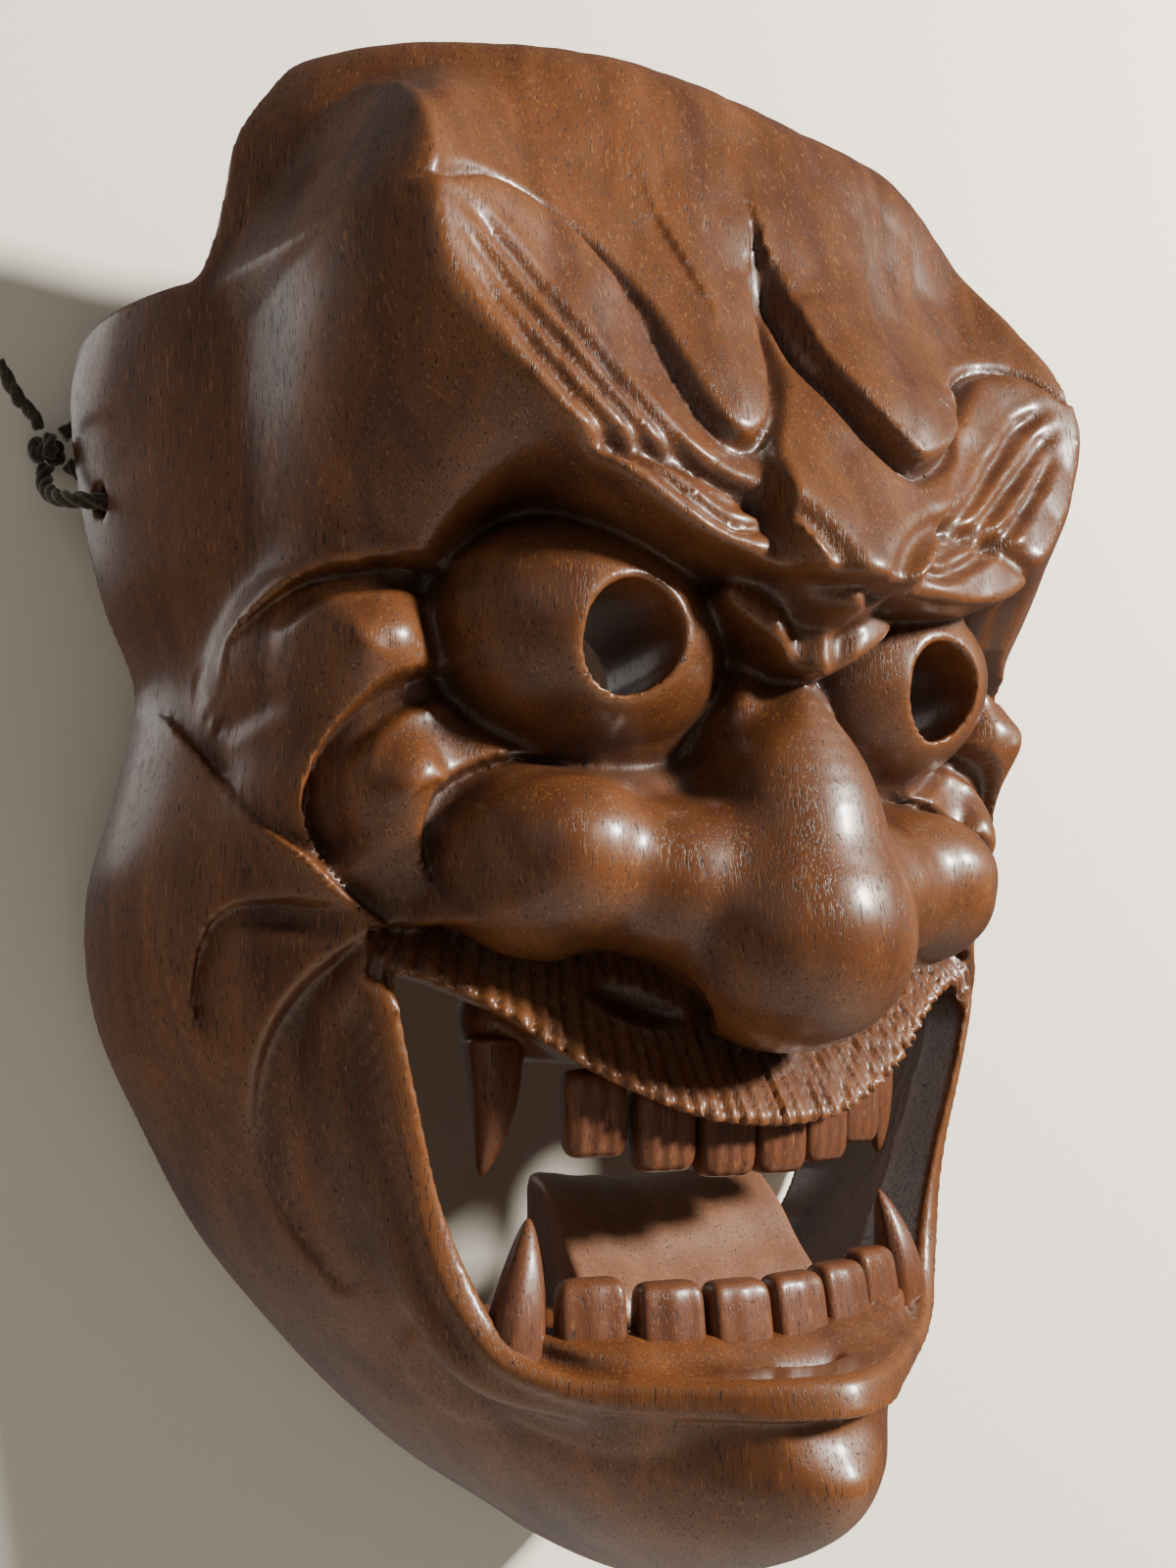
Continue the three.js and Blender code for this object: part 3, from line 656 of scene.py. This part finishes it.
for side, line in both_sides(LOWER_LIP):
    mask.bar(line, [4.5, 5, 5, 5, 5, 4.8, 4.6], 4)

# --------------------------------------------------------------------------
# Relief: the forehead's lobes, the brow hairs, the cheek folds and the lip's edge, all
# cut from the front into the rough shape. It is how far each place stands proud.
# --------------------------------------------------------------------------
relief = np.zeros(x2.shape)
CENTRE_TIER = [(-3, 57), (-4, 46), (-8, 37), (-11.5, 27), (-12.5, 14), (-7, 7), (1, 4), (9, 8),
               (17, 16.5), (26, 29), (33, 41), (35, 54), (22, 60), (8, 62)]
inside_tier = within(CENTRE_TIER, x2, z2)
tier_height = 7 - 4.2 * rise(z2, 5, 34) - 2.0 * rise(z2, 34, 60)
relief += tier_height * rise(inside_tier, -1.0, 1.6)
RIGHT_LOBE = [
    (-5.5, 66), (-6, 50), (-8, 38.5), (-11, 32), (-15, 29), (-19.5, 30.5), (-23.5, 37), (-28, 48.5),
    (-33, 56.5), (-40, 62), (-48, 64), (-55, 62.8), (-62, 58.5), (-70, 58),
]
LEFT_LOBE = [
    (-2.5, 66), (0.5, 50), (4, 42), (8.5, 35.5), (14, 30.5), (19.5, 32), (26, 37.5), (33, 46.5),
    (38, 54), (43, 60), (50, 63), (56, 62.5), (62, 58.5), (70, 58),
]
for side, line, height in ((-1, RIGHT_LOBE, 1.9), (1, LEFT_LOBE, 4.0)):
    left, share = from_line(line, x2, z2)
    up = left * side
    fade = (1 - rise(z2, 50, 84)) * (1 - rise(share, 0.45, 0.85))
    relief += height * fade * rise(up, -0.8, 2.0) + 1.4 * fade * rise(up, 0, 11)
    edge_shown = (1 - rise(share, 0.75, 0.95)) * (1 - rise(z2, 56, 66))
    relief -= (1.0 if side < 0 else 1.8) * edge_shown * np.exp(-((up + 0.6) / 1.2) ** 2)
    relief -= 1.0 * fade * rise(-up, 0, 1.5) * (1 - rise(-up, 2, 9)) * (side < 0)
    leaf = rise(share, 0.52, 0.64) * (1 - rise(share, 0.9, 0.98))
    relief -= 1.3 * leaf * np.exp(-((up - 0.5) / 1.1) ** 2)
    relief += 1.8 * leaf * rise(-up, -0.2, 1.0) * (1 - rise(-up, 1.0, 16))
BROW_GROOVES = [
    [(59.5, 56.5), (50, 49.5), (41.5, 40.2), (32.6, 30.2), (23.5, 23), (18, 20.8), (12, 22)],
    [(60, 53.2), (52.3, 44.6), (42, 34.4), (32.6, 25.8), (23.2, 19.2), (18.5, 17.6), (11, 19.2)],
    [(59.2, 49.2), (51.6, 38.8), (42.6, 28.8), (32.6, 21.2), (22.2, 15.2), (17.7, 14.4), (10.4, 16)],
]
for groove in BROW_GROOVES:
    for side, line in both_sides(groove):
        left, share = from_line(line, x2, z2)
        shown = 1 if side < 0 else 1 - rise(inside_tier, -1.5, 0)
        ends = rise(share, 0, 0.12) * (1 - rise(share, 0.93, 1)) * (1 - 0.35 * rise(a2, 46, 60))
        cut = 1.3 * np.exp(-(left / 1.15) ** 2)
        lifted = 0.3 * np.exp(-((np.abs(left) - 2.4) / 1.1) ** 2)
        relief -= ends * shown * (cut - lifted)
# the crease round each eyeball
for side in (-1, 1):
    x, z, lean = x2 - side * EYEBALL[0], z2 - EYEBALL[2], side * EYEBALL_LEAN
    u, w = x * np.cos(lean) + z * np.sin(lean), -x * np.sin(lean) + z * np.cos(lean)
    outside = (np.hypot(u / 24, w / 18.6) - 1) * 21
    relief -= 2.6 * np.exp(-((outside - 1.0) / 2.2) ** 2) * (z2 < 30)
# cheek folds: each line with how deep its channel is and how far the wood swells inside it
CHEEK_FOLDS = [
    ([(44, 11), (51.9, 12.2), (57, 12.4), (62, 11.6), (68.9, 10.2), (74.2, 5.9), (75.9, 2.4), (75.6, -4),
      (73.6, -12)], 3.6, 2.0),
    ([(44, -2), (49.6, -2.5), (57.7, -5.3), (63.3, -10.1), (66.5, -16.4), (67.2, -22.4), (65.2, -27.6),
      (61.5, -32)], 3.4, 2.0),
    ([(24, -17), (28.2, -15.4), (34.3, -14.2), (42.9, -15.4), (51.1, -20.3), (52.8, -26), (50.7, -32.8),
      (45.9, -39.9)], 3.2, 0.0),
]
for line, drop, swell in CHEEK_FOLDS:
    for side, fold in both_sides(line):
        left, share = from_line(fold, x2, z2)
        inner = -left * side
        ends = rise(share, 0.02, 0.25) * (1 - rise(share, 0.9, 1.0)) * (1 + 0.9 * rise(a2, 55, 75))
        channel = rise(inner, -0.5, 0.6) * (1 - 0.75 * rise(inner, 3.4, 5.6)) * (1 - rise(inner, 5, 13))
        relief -= ends * drop * channel
        middle = rise(share, 0.2, 0.5) * (1 - rise(share, 0.85, 1))
        relief += middle * swell * rise(inner, 5, 12) * (1 - rise(inner, 12, 24))
# the line between cheek and jaw, the small fold under it and the channel beside the mouth
CHEEK_LINE = [(85, 6), (80.3, -0.5), (77.7, -8.1), (74.7, -15.7), (71.9, -24), (65.7, -30.2), (60, -35.4),
              (55.4, -38.9), (49, -42.5)]
for side, line in both_sides(CHEEK_LINE):
    left, share = from_line(line, x2, z2)
    below = left * side * -1
    ends = 1 - rise(share, 0.9, 1.0)
    relief -= ends * 5.0 * rise(below, -1.0, 0.8) * (1 - rise(below, 0.8, 15))
SMALL_FOLD = [(58.5, -38.2), (60.7, -36.9), (67.2, -35.3), (72.1, -35.1), (75.2, -37.3), (76.3, -41.9),
              (76.3, -47.4), (75.2, -51.5), (73, -57)]
for side, line in both_sides(SMALL_FOLD):
    left, share = from_line(line, x2, z2)
    inner = -left * side
    ends = rise(share, 0, 0.2) * (1 - rise(share, 0.8, 1.0))
    relief -= ends * 3.2 * rise(inner, -0.5, 0.6) * (1 - rise(inner, 2.0, 5.5))
SMILE_CHANNEL = [
    (58.3, -40.4), (62.4, -42.9), (66.2, -47.3), (68.8, -54.5), (68.6, -63.3), (66.2, -71.8),
    (61.6, -81.1), (53.9, -90.3), (51.5, -89.5), (55.6, -82), (58.7, -72.9), (60.3, -64.7),
    (61, -56.7), (60.8, -50.2), (59, -45),
]
for side, outline in both_sides(SMILE_CHANNEL):
    relief -= 4.4 * rise(within(outline, x2, z2), -0.5, 2.6)
# the raised rim of the mouth, and the facets that the last chisel left
LIP_EDGE = [(59.4, -45.5), (57.7, -53.3), (54.8, -62.5), (51, -74.4), (47.4, -86.1), (43.6, -93.6),
            (39, -99.3), (28, -103.6), (14, -104.6), (0, -104.8)]
for side, line in both_sides(LIP_EDGE):
    left, share = from_line(line, x2, z2)
    out = left * side
    relief -= 2.4 * rise(share, 0, 0.08) * rise(out, -0.4, 0.6) * (1 - rise(out, 2, 10))
CHISEL_WIDTH = 7.5
cuts = tool_cuts(x2, z2, CHISEL_WIDTH, 1.0, 5)
on_brow = rise(z2, -20, 40)
relief += (0.42 * cuts - 0.2) * on_brow + (0.16 * cuts - 0.08) * (1 - on_brow)
mask.press(relief)

# --------------------------------------------------------------------------
# Crown, ear flaps and hollow: the top is sawn off in a low arch, the forehead's sides
# are set in behind the ear flaps, and the inside is scooped out with a broad gouge.
# --------------------------------------------------------------------------
CROWN_SIDES = (-42, 55)
FOREHEAD_SETBACK = 36
FOREHEAD_LEAN = 11
GOUGE_WIDTH = 9
GOUGE_DEPTH = 1.1
across_crown = np.clip(x3, *CROWN_SIDES)
over_crown = z3 - CROWN_LEVEL + 1 - 0.07 * across_crown + 0.0022 * across_crown ** 2
mask.depth = soft_most(mask.depth, over_crown + 0 * mask.depth, 5)
mask.depth = soft_most(mask.depth, (CHIN_LEVEL - z3) + 0 * mask.depth, 2)
set_in = FOREHEAD_SETBACK + FOREHEAD_LEAN * (z3 - FLAP_TOP) / (CROWN_LEVEL - FLAP_TOP)
behind = soft_most(FLAP_TOP - 0.7 + 0.12 * y3 - z3, (-set_in - y3) * 0.97, 2.5)
mask.depth = soft_most(mask.depth, -behind + 0 * mask.depth, 2)
hollow = bowl(mask, WALL)
hollow = soft_most(hollow, (z3 - CROWN_LEVEL + CROWN_THICKNESS) + 0 * hollow, 6)
hollow = soft_most(hollow, (CHIN_FLOOR - z3) + 0 * hollow, 6)
gouged = tool_cuts(x2, z2, GOUGE_WIDTH, GOUGE_DEPTH, 3)
mask.depth = soft_most(mask.depth, -(hollow + 0.6 - gouged[:, None, :]), 1.5)

# --------------------------------------------------------------------------
# Mouth and gums: the opening is sawn right through the block, the moustache's hair
# hangs over its top edge, and curved ledges inside it carry the rows of teeth.
# --------------------------------------------------------------------------
MOUTH = [
    (0, -66.5), (14, -64), (28, -57.5), (40, -51.5), (52.5, -46), (54, -50), (51, -62), (45.5, -79),
    (38.5, -94), (34, -98), (26, -99.5), (0, -99.5),
]
mouth = within(MOUTH + [(-x, z) for x, z in MOUTH[-2:0:-1]], x2, z2)
mask.depth = soft_most(mask.depth, mouth[:, None, :] + 0 * mask.depth, 1.6)

WHISKERS_THICKNESS = 16
WHISKERS_TOP = -37
whiskers = (moustache_front[:, None, :] - y3) * 0.8
under = (lip_edge - z2)[:, None, :] + 0.3 * np.clip(y3 + 70, 0, 20)
whiskers = soft_most(whiskers, under * 0.8, 0.8)
whiskers = soft_most(whiskers, y3 - moustache_arch[:, None, :] - WHISKERS_THICKNESS, 2.0)
whiskers = soft_most(whiskers, np.maximum(a2 - LIP_HALF_WIDTH, z2 - WHISKERS_TOP)[:, None, :], 1.0)
mask.put(everywhere, whiskers.astype(np.float32), 1.0)

gums = Block((-100, -106, -142), (100, 5, 118), CARVING_STEP)
# how far out, level, radius, bend across and half width of each ledge
GUMS = [(-55.5, -53.5, 6.6, 0.0075, 34), (-65, -104, 7.4, 0.0095, 39), (-47, -103, 7.6, 0.0055, 38)]
for out, level, radius, bend, rows in GUMS:
    arch = [(x, out + bend * x * x, level + abs(x) * 0.07) for x in np.linspace(-rows, rows, 7)]
    gums.bar(arch, [radius] * 7, 2)
gums.depth = soft_most(gums.depth, bowl(gums, 0.5), 1)
mask.depth = soft_least(mask.depth, gums.depth, 2)

# --------------------------------------------------------------------------
# Holes: two drilled through the eyes for the actor to see by, the nostrils, and one in
# each ear flap for the cord. The back is planed flat to lie against a wall.
# --------------------------------------------------------------------------
EYE_HOLE_ACROSS = 29.7
EYE_HOLE_RADIUS = 7.7
CORD_HOLE = (-10, 35)
CORD_HOLE_RADIUS = 2.6
for side in (-1, 1):
    eye_hole = np.hypot(x3 - side * EYE_HOLE_ACROSS, z3) - EYE_HOLE_RADIUS
    mask.depth = soft_most(mask.depth, -eye_hole + 0 * mask.depth, 1)
    mask.lump((side * 21, -66, -48.5), (12.5, 9, 4.4), 1.0, lean=side * 0.35, cut=True)
    round_hole = np.hypot(y3 - CORD_HOLE[0], z3 - CORD_HOLE[1]) - CORD_HOLE_RADIUS
    cord_hole = np.maximum(round_hole, 60 - side * x3)
    mask.depth = soft_most(mask.depth, -cord_hole + 0 * mask.depth, 0.8)
mask.depth = np.maximum(mask.depth, y3 + 0 * mask.depth)

# --------------------------------------------------------------------------
# Wood: an open-grained hardwood with dark pores, stained red brown, varnished, with a
# painted highlight paler on the edges and painted shade darker in the hollows.
# --------------------------------------------------------------------------


def make_wood_figure():
    """Shader group: the colour, gloss and pores of stained and varnished open-grained wood, with painted
    shade in its hollows and a painted highlight on its edges.
    """
    group = bpy.data.node_groups.new("wood_figure", "ShaderNodeTree")
    stains = {
        "Stain": (0.20, 0.07, 0.03, 1),
        # also the colour of the painted highlight on edges
        "Light Stain And Highlight": (0.40, 0.16, 0.06, 1),
        # also the colour of the painted shade in hollows
        "Dark Stain And Shade": (0.07, 0.022, 0.011, 1),
    }
    for name, value in stains.items():
        socket(group, name, "NodeSocketColor", value=value)
    for name, value in (("Pores", 1.0), ("Hollow", 0.0), ("Edge", 0.0), ("Deep", 0.0), ("Seed", 0.0)):
        socket(group, name, "NodeSocketFloat", value=value)
    socket(group, "Colour", "NodeSocketColor", way="OUTPUT")
    socket(group, "Roughness", "NodeSocketFloat", way="OUTPUT")
    socket(group, "Height", "NodeSocketFloat", way="OUTPUT")
    add = Nodes(group)
    given = add.add("NodeGroupInput").outputs
    place = add.add("ShaderNodeTexCoord").outputs["Object"]
    shift = add.add("ShaderNodeCombineXYZ", {0: given["Seed"], 1: 0.0, 2: given["Seed"]}).outputs[0]
    place = add.add("ShaderNodeVectorMath", {0: place, 1: shift}, operation="ADD").outputs[0]

    def noise(stretch, scale, detail=2.0, roughness=0.5, distortion=0.0):
        grain = add.add("ShaderNodeMapping", {"Vector": place, "Scale": stretch})
        return add.add("ShaderNodeTexNoise", {
            "Vector": grain.outputs[0], "Scale": scale, "Detail": detail, "Roughness": roughness,
            "Distortion": distortion,
        }).outputs[0]

    pores = add.ramp(noise((1, 1, 0.09), 2700, 2.0, 0.6), 0.60, 0.68)
    short_pores = add.ramp(noise((1, 1, 0.16), 4200, 1.0, 0.5), 0.62, 0.70)
    bands = noise((1, 1, 0.12), 70, 4.0, 0.6, 0.8)
    clouds = noise((1, 1, 0.5), 14, 3.0, 0.6)
    flecks = add.ramp(noise((1, 1, 0.12), 2300, 1.0, 0.5), 0.62, 0.70)
    hand_stain = add.ramp(noise((1, 1, 0.8), 30, 4.0, 0.65), 0.45, 0.75)
    colour = add.blend(add.ramp(bands, 0.32, 0.68), given["Stain"], given["Light Stain And Highlight"])
    colour = add.blend(add.maths("MULTIPLY", hand_stain, 0.5), colour, given["Dark Stain And Shade"])
    colour = add.blend(add.ramp(clouds, 0.35, 0.7, 0.0, 0.45), colour, given["Stain"])
    colour = add.blend(add.maths("MULTIPLY", flecks, 0.16), colour, (0.62, 0.30, 0.12, 1))
    # painted highlight: convex edges are painted paler, towards the light stain
    painted_highlight = add.maths("MULTIPLY", given["Edge"], add.ramp(clouds, 0.3, 0.6, 0.35, 0.8))
    colour = add.blend(painted_highlight, colour, given["Light Stain And Highlight"])
    holes = add.maths("MAXIMUM", pores, add.maths("MULTIPLY", short_pores, 0.6))
    holes = add.maths("MULTIPLY", holes, given["Pores"])
    colour = add.blend(add.maths("MULTIPLY", holes, 0.9), colour, given["Dark Stain And Shade"])
    # painted shade: hollows and deep recesses are painted darker, towards the dark stain, in patches
    patchy = add.ramp(noise((1, 1, 1), 160, 2.0), 0.25, 0.7, 0.55, 0.95)
    painted_shade = add.maths("MULTIPLY", given["Hollow"], patchy)
    painted_shade = add.maths("MAXIMUM", painted_shade, add.maths("MULTIPLY", given["Deep"], 0.6))
    colour = add.blend(painted_shade, colour, given["Dark Stain And Shade"])
    out = add.add("NodeGroupOutput")
    group.links.new(colour, out.inputs["Colour"])
    gloss = add.ramp(noise((1, 1, 0.4), 55, 3.0), 0.3, 0.7, 0.30, 0.44)
    gloss = add.maths("ADD", gloss, add.maths("MULTIPLY", holes, 0.3), clamp=True)
    dull = add.maths("MULTIPLY", given["Hollow"], 0.2)
    group.links.new(add.maths("ADD", gloss, dull, clamp=True), out.inputs["Roughness"])
    ripple = add.maths("MULTIPLY", noise((1, 1, 0.3), 240, 2.0), 0.35)
    group.links.new(add.maths("SUBTRACT", ripple, holes), out.inputs["Height"])
    return group


wood_figure = make_wood_figure()


def stained_wood(name, stain, light, dark, coat, seed=0.0):
    material, add, shader = new_material(name, 0.4, coat=coat, coat_roughness=0.2, specular=0.4)
    figure = add.add("ShaderNodeGroup", node_tree=wood_figure)
    for name, value in (("Stain", stain), ("Light Stain And Highlight", light), ("Dark Stain And Shade", dark), ("Seed", seed)):
        figure.inputs[name].default_value = value
    # the hollow and deep marks paint shade into the colour, the edge mark a painted highlight
    for name, mark in (("Hollow", "hollow"), ("Edge", "edge"), ("Deep", "deep")):
        layer = add.add("ShaderNodeAttribute", attribute_name=mark)
        add.tree.links.new(layer.outputs["Fac"], figure.inputs[name])
    bump = add.add("ShaderNodeBump", {"Height": figure.outputs["Height"], "Strength": 0.35,
                                      "Distance": 0.00022})
    add.tree.links.new(figure.outputs["Colour"], shader.inputs["Base Color"])
    add.tree.links.new(figure.outputs["Roughness"], shader.inputs["Roughness"])
    add.tree.links.new(bump.outputs[0], shader.inputs["Normal"])
    return material


# the light colour also gives the painted highlight on edges, the dark one the painted shade in hollows
carved_wood = stained_wood("carved_wood", (0.070, 0.0215, 0.0085, 1), (0.185, 0.066, 0.019, 1),
                           (0.020, 0.0065, 0.0035, 1), 0.32)

carved_mask = carved_piece("carved_mask", mask, carved_wood, "carved_wood")
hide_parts("face_shell")

# --------------------------------------------------------------------------
# Teeth: short square blocks left standing on the gums, rounded on top, with the
# flutes of a small gouge down their fronts, stained a little darker than the face.
# --------------------------------------------------------------------------
TOOTH_STEP = 0.4
TOOTH_COUNT = 6
UPPER_TOOTH = {"width": 9.8, "height": 13, "bend": 0.0075, "flutes": 4}
LOWER_TOOTH = {"width": 10.3, "height": 11, "bend": 0.0095, "flutes": 2}
TOOTH_THICKNESS = 8


def in_face(corner):
    """A row point in metres to face coordinates in millimetres."""
    return (np.array(corner) + np.array([0, 0, HOOK_HEIGHT])) * 1000


def turned(x, y, centre, angle):
    x, y = x - centre[0], y - centre[1]
    return x * math.cos(angle) + y * math.sin(angle), y * math.cos(angle) - x * math.sin(angle)


tooth_wood = stained_wood("tooth_wood", (0.085, 0.029, 0.014, 1), (0.15, 0.053, 0.022, 1),
                          (0.03, 0.011, 0.006, 1), 0.2, 0.31)
for row, kind, up in (("upper", UPPER_TOOTH, 1), ("lower", LOWER_TOOTH, -1)):
    for number in range(1, TOOTH_COUNT + 1):
        low, high = (in_face(corner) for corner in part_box(f"{row}_tooth_{number}"))
        centre = (low + high) / 2
        block = Block(low - 1.5, high + 1.5, TOOTH_STEP)
        _, x, y, z = block.whole()
        x, y = turned(x, y, centre, math.atan(2 * kind["bend"] * centre[0]) * 0.7)
        z = (z - centre[2]) * up
        root = rise(z, -kind["height"] / 2, kind["height"] / 2)
        half = kind["width"] / 2 - 0.08 - 0.1 * (1 - root)
        deep = TOOTH_THICKNESS / 2 - 0.3 - 0.8 * (1 - root)
        tall = kind["height"] / 2 - 0.2
        flute = 0.16 * np.cos(2 * math.pi * x / (kind["width"] / kind["flutes"])) * (y < 0)
        wobble = 0.25 * math.sin(number * 2.1 + up)
        shape = ((np.abs(x) / half) ** 6 + (np.abs(y + 0.4) / (deep + flute)) ** 3.2
                 + (np.abs(z + 0.06 * wobble * x) / tall) ** 4.5) ** 0.25
        block.depth = ((shape - 1) * half * 0.9).astype(np.float32)
        block.depth = soft_most(block.depth, (low[2] + 0.05 - block.axes[2])[None, None, :]
                                + 0 * block.depth, 0.3)
        tooth = carved_piece(f"carved_{row}_tooth_{number}", block, tooth_wood, "tooth_wood")
        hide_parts(f"{row}_tooth_{number}")

# --------------------------------------------------------------------------
# Fangs: one long pointed tooth at each end of both rows, cut to a few long facets
# that meet at the tip, and bent a little inwards.
# --------------------------------------------------------------------------
FANG_STEP = 0.4
for row, hang in (("upper", -1), ("lower", 1)):
    for hand in ("right", "left"):
        low, high = (in_face(corner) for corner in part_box(f"{row}_fang_{hand}"))
        block = Block(low - 1.5, high + 1.5, FANG_STEP)
        _, x, y, z = block.whole()
        side = -1 if hand == "right" else 1
        root_level, tip_level = (high[2], low[2]) if hang < 0 else (low[2], high[2])
        along_fang = np.clip((z - root_level) / (tip_level - root_level), 0, 1)
        middle = (low + high) / 2
        lean = (2.0 if hang < 0 else -3.0) * side
        centre_x = middle[0] + lean * (along_fang - 0.5) - side * 1.2 * np.sin(math.pi
                * along_fang) * -hang * 0.5
        centre_y = middle[1] - 1.2 * np.sin(math.pi * along_fang) + 0.4
        radius = 4.35 * (1 - along_fang ** 1.5) ** 0.8 + 0.25
        dx, dy = x - centre_x, y - centre_y
        shape = 0 * dx
        for facet in range(7):
            angle = 2 * math.pi * (facet + 0.35) / 7
            reach = 1 + 0.05 * math.sin(facet * 2.7)
            shape = np.logaddexp(shape, (dx * math.cos(angle) + dy * math.sin(angle)) * reach * 3.0)
        block.depth = ((shape / 3.0 - radius) * 0.85 + 0 * z).astype(np.float32)
        ends = soft_most(low[2] + 0.3 - z, z - high[2] + 0.3, 0.2)
        block.depth = soft_most(block.depth, ends + 0 * block.depth, 0.5)
        fang = carved_piece(f"carved_{row}_fang_{hand}", block, tooth_wood, "tooth_wood")
        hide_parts(f"{row}_fang_{hand}")

# --------------------------------------------------------------------------
# Tongue: a broad ramp of the same wood that rises from behind the lower teeth,
# dished along its middle, left with the marks of a flat gouge and stained paler than the face.
# --------------------------------------------------------------------------
TONGUE_STEP = 0.6
TONGUE_HALF_WIDTH = 22.4
low, high = (in_face(corner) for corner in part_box("tongue"))
tongue_block = Block(low - 2, high + 2, TONGUE_STEP)
_, x, y, z = tongue_block.whole()
tongue_line = [(-51.4, -94), (-50.0, -91.5), (-46, -87), (-42, -81.5), (-38, -77.5), (-34, -75.6),
               (-31, -75.4)]
top_line = drawn(tongue_line)
top_level = np.interp(y, top_line[:, 0], top_line[:, 1])
dish = 1.3 * (1 - (x / 18) ** 2)
seen_from_above = np.meshgrid(tongue_block.axes[0], tongue_block.axes[1], indexing="ij")
marks = tool_cuts(*seen_from_above, 5.5, 0.5, 11)
above = z - (top_level - np.clip(dish, -1, 2) - 0.5 * marks[:, :, None])
sides = np.abs(x) - (TONGUE_HALF_WIDTH - 0.05 * (y + 50))
ends = soft_most(low[1] + 0.4 - y, y - high[1] + 0.4, 0.5)
shape = soft_most(above * 0.75, sides, 2.2)
shape = soft_most(shape, ends, 1.2)
tongue_block.depth = soft_most(shape, low[2] + 0.3 - z, 0.8).astype(np.float32)
tongue_wood = stained_wood("tongue_wood", (0.15, 0.065, 0.035, 1), (0.24, 0.115, 0.065, 1),
                           (0.05, 0.02, 0.011, 1), 0.05, 0.57)
tongue = carved_piece("carved_tongue", tongue_block, tongue_wood, "tongue_wood")
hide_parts("tongue")

# --------------------------------------------------------------------------
# Room: the pale wall that the mask hangs on, a pale floor, and soft lamps.
# --------------------------------------------------------------------------
def pale_sheet(name, corners, colour):
    mesh = bpy.data.meshes.new(name)
    mesh.from_pydata(corners, [], [tuple(range(len(corners)))])
    sheet = bpy.data.objects.new(name, mesh)
    paint = bpy.data.materials.new(name)
    paint.use_nodes = True
    paint.node_tree.nodes["Principled BSDF"].inputs["Base Color"].default_value = colour
    paint.node_tree.nodes["Principled BSDF"].inputs["Roughness"].default_value = 0.9
    mesh.materials.append(paint)
    bpy.context.scene.collection.objects.link(sheet)
    return sheet, paint


WALL_PLACE = 0.0080
FLOOR_LEVEL = -1.2
wall_corners = [(x, WALL_PLACE, z) for x, z in ((-4, FLOOR_LEVEL), (4, FLOOR_LEVEL), (4, 4), (-4, 4))]
wall, wall_paint = pale_sheet("wall", wall_corners, (0.94, 0.90, 0.80, 1))
floor_corners = [(x, y, FLOOR_LEVEL) for x, y in ((-9, -9), (9, -9), (9, 9), (-9, 9))]
pale_sheet("floor", floor_corners, (0.75, 0.73, 0.70, 1))
nodes = Nodes(wall_paint.node_tree)
seen_behind = nodes.add("ShaderNodeNewGeometry").outputs["Backfacing"]
clear = nodes.add("ShaderNodeBsdfTransparent").outputs[0]
painted = wall_paint.node_tree.nodes["Principled BSDF"].outputs[0]
either = nodes.add("ShaderNodeMixShader", {0: seen_behind, 1: painted, 2: clear}).outputs[0]
nodes.tree.links.new(either, wall_paint.node_tree.nodes["Material Output"].inputs[0])
wall.visible_shadow = False
wall.visible_glossy = False


def soft_lamp(name, place, aim, size, power, colour):
    lamp = bpy.data.objects.new(name, bpy.data.lights.new(name, "AREA"))
    lamp.data.shape = "DISK"
    lamp.data.size = size
    lamp.data.energy = power
    lamp.data.color = colour
    lamp.location = place
    lamp.rotation_mode = "QUATERNION"
    lamp.rotation_quaternion = (Vector(aim) - Vector(place)).to_track_quat("-Z", "Y")
    bpy.context.scene.collection.objects.link(lamp)


soft_lamp("key", (0.62, -0.85, 0.22), (0, -0.03, -0.16), 0.16, 34, (1, 0.94, 0.85))
soft_lamp("fill", (-0.9, -0.9, 0.1), (0, 0, -0.16), 1.0, 0.9, (1, 0.96, 0.9))
soft_lamp("rear", (-0.7, 1.1, 0.5), (0, 0, -0.16), 0.8, 2, (1, 0.97, 0.93))
world = bpy.data.worlds.new("room_light")
world.use_nodes = True
world.node_tree.nodes["Background"].inputs[0].default_value = (0.86, 0.85, 0.82, 1)
world.node_tree.nodes["Background"].inputs[1].default_value = 0.15
bpy.context.scene.world = world
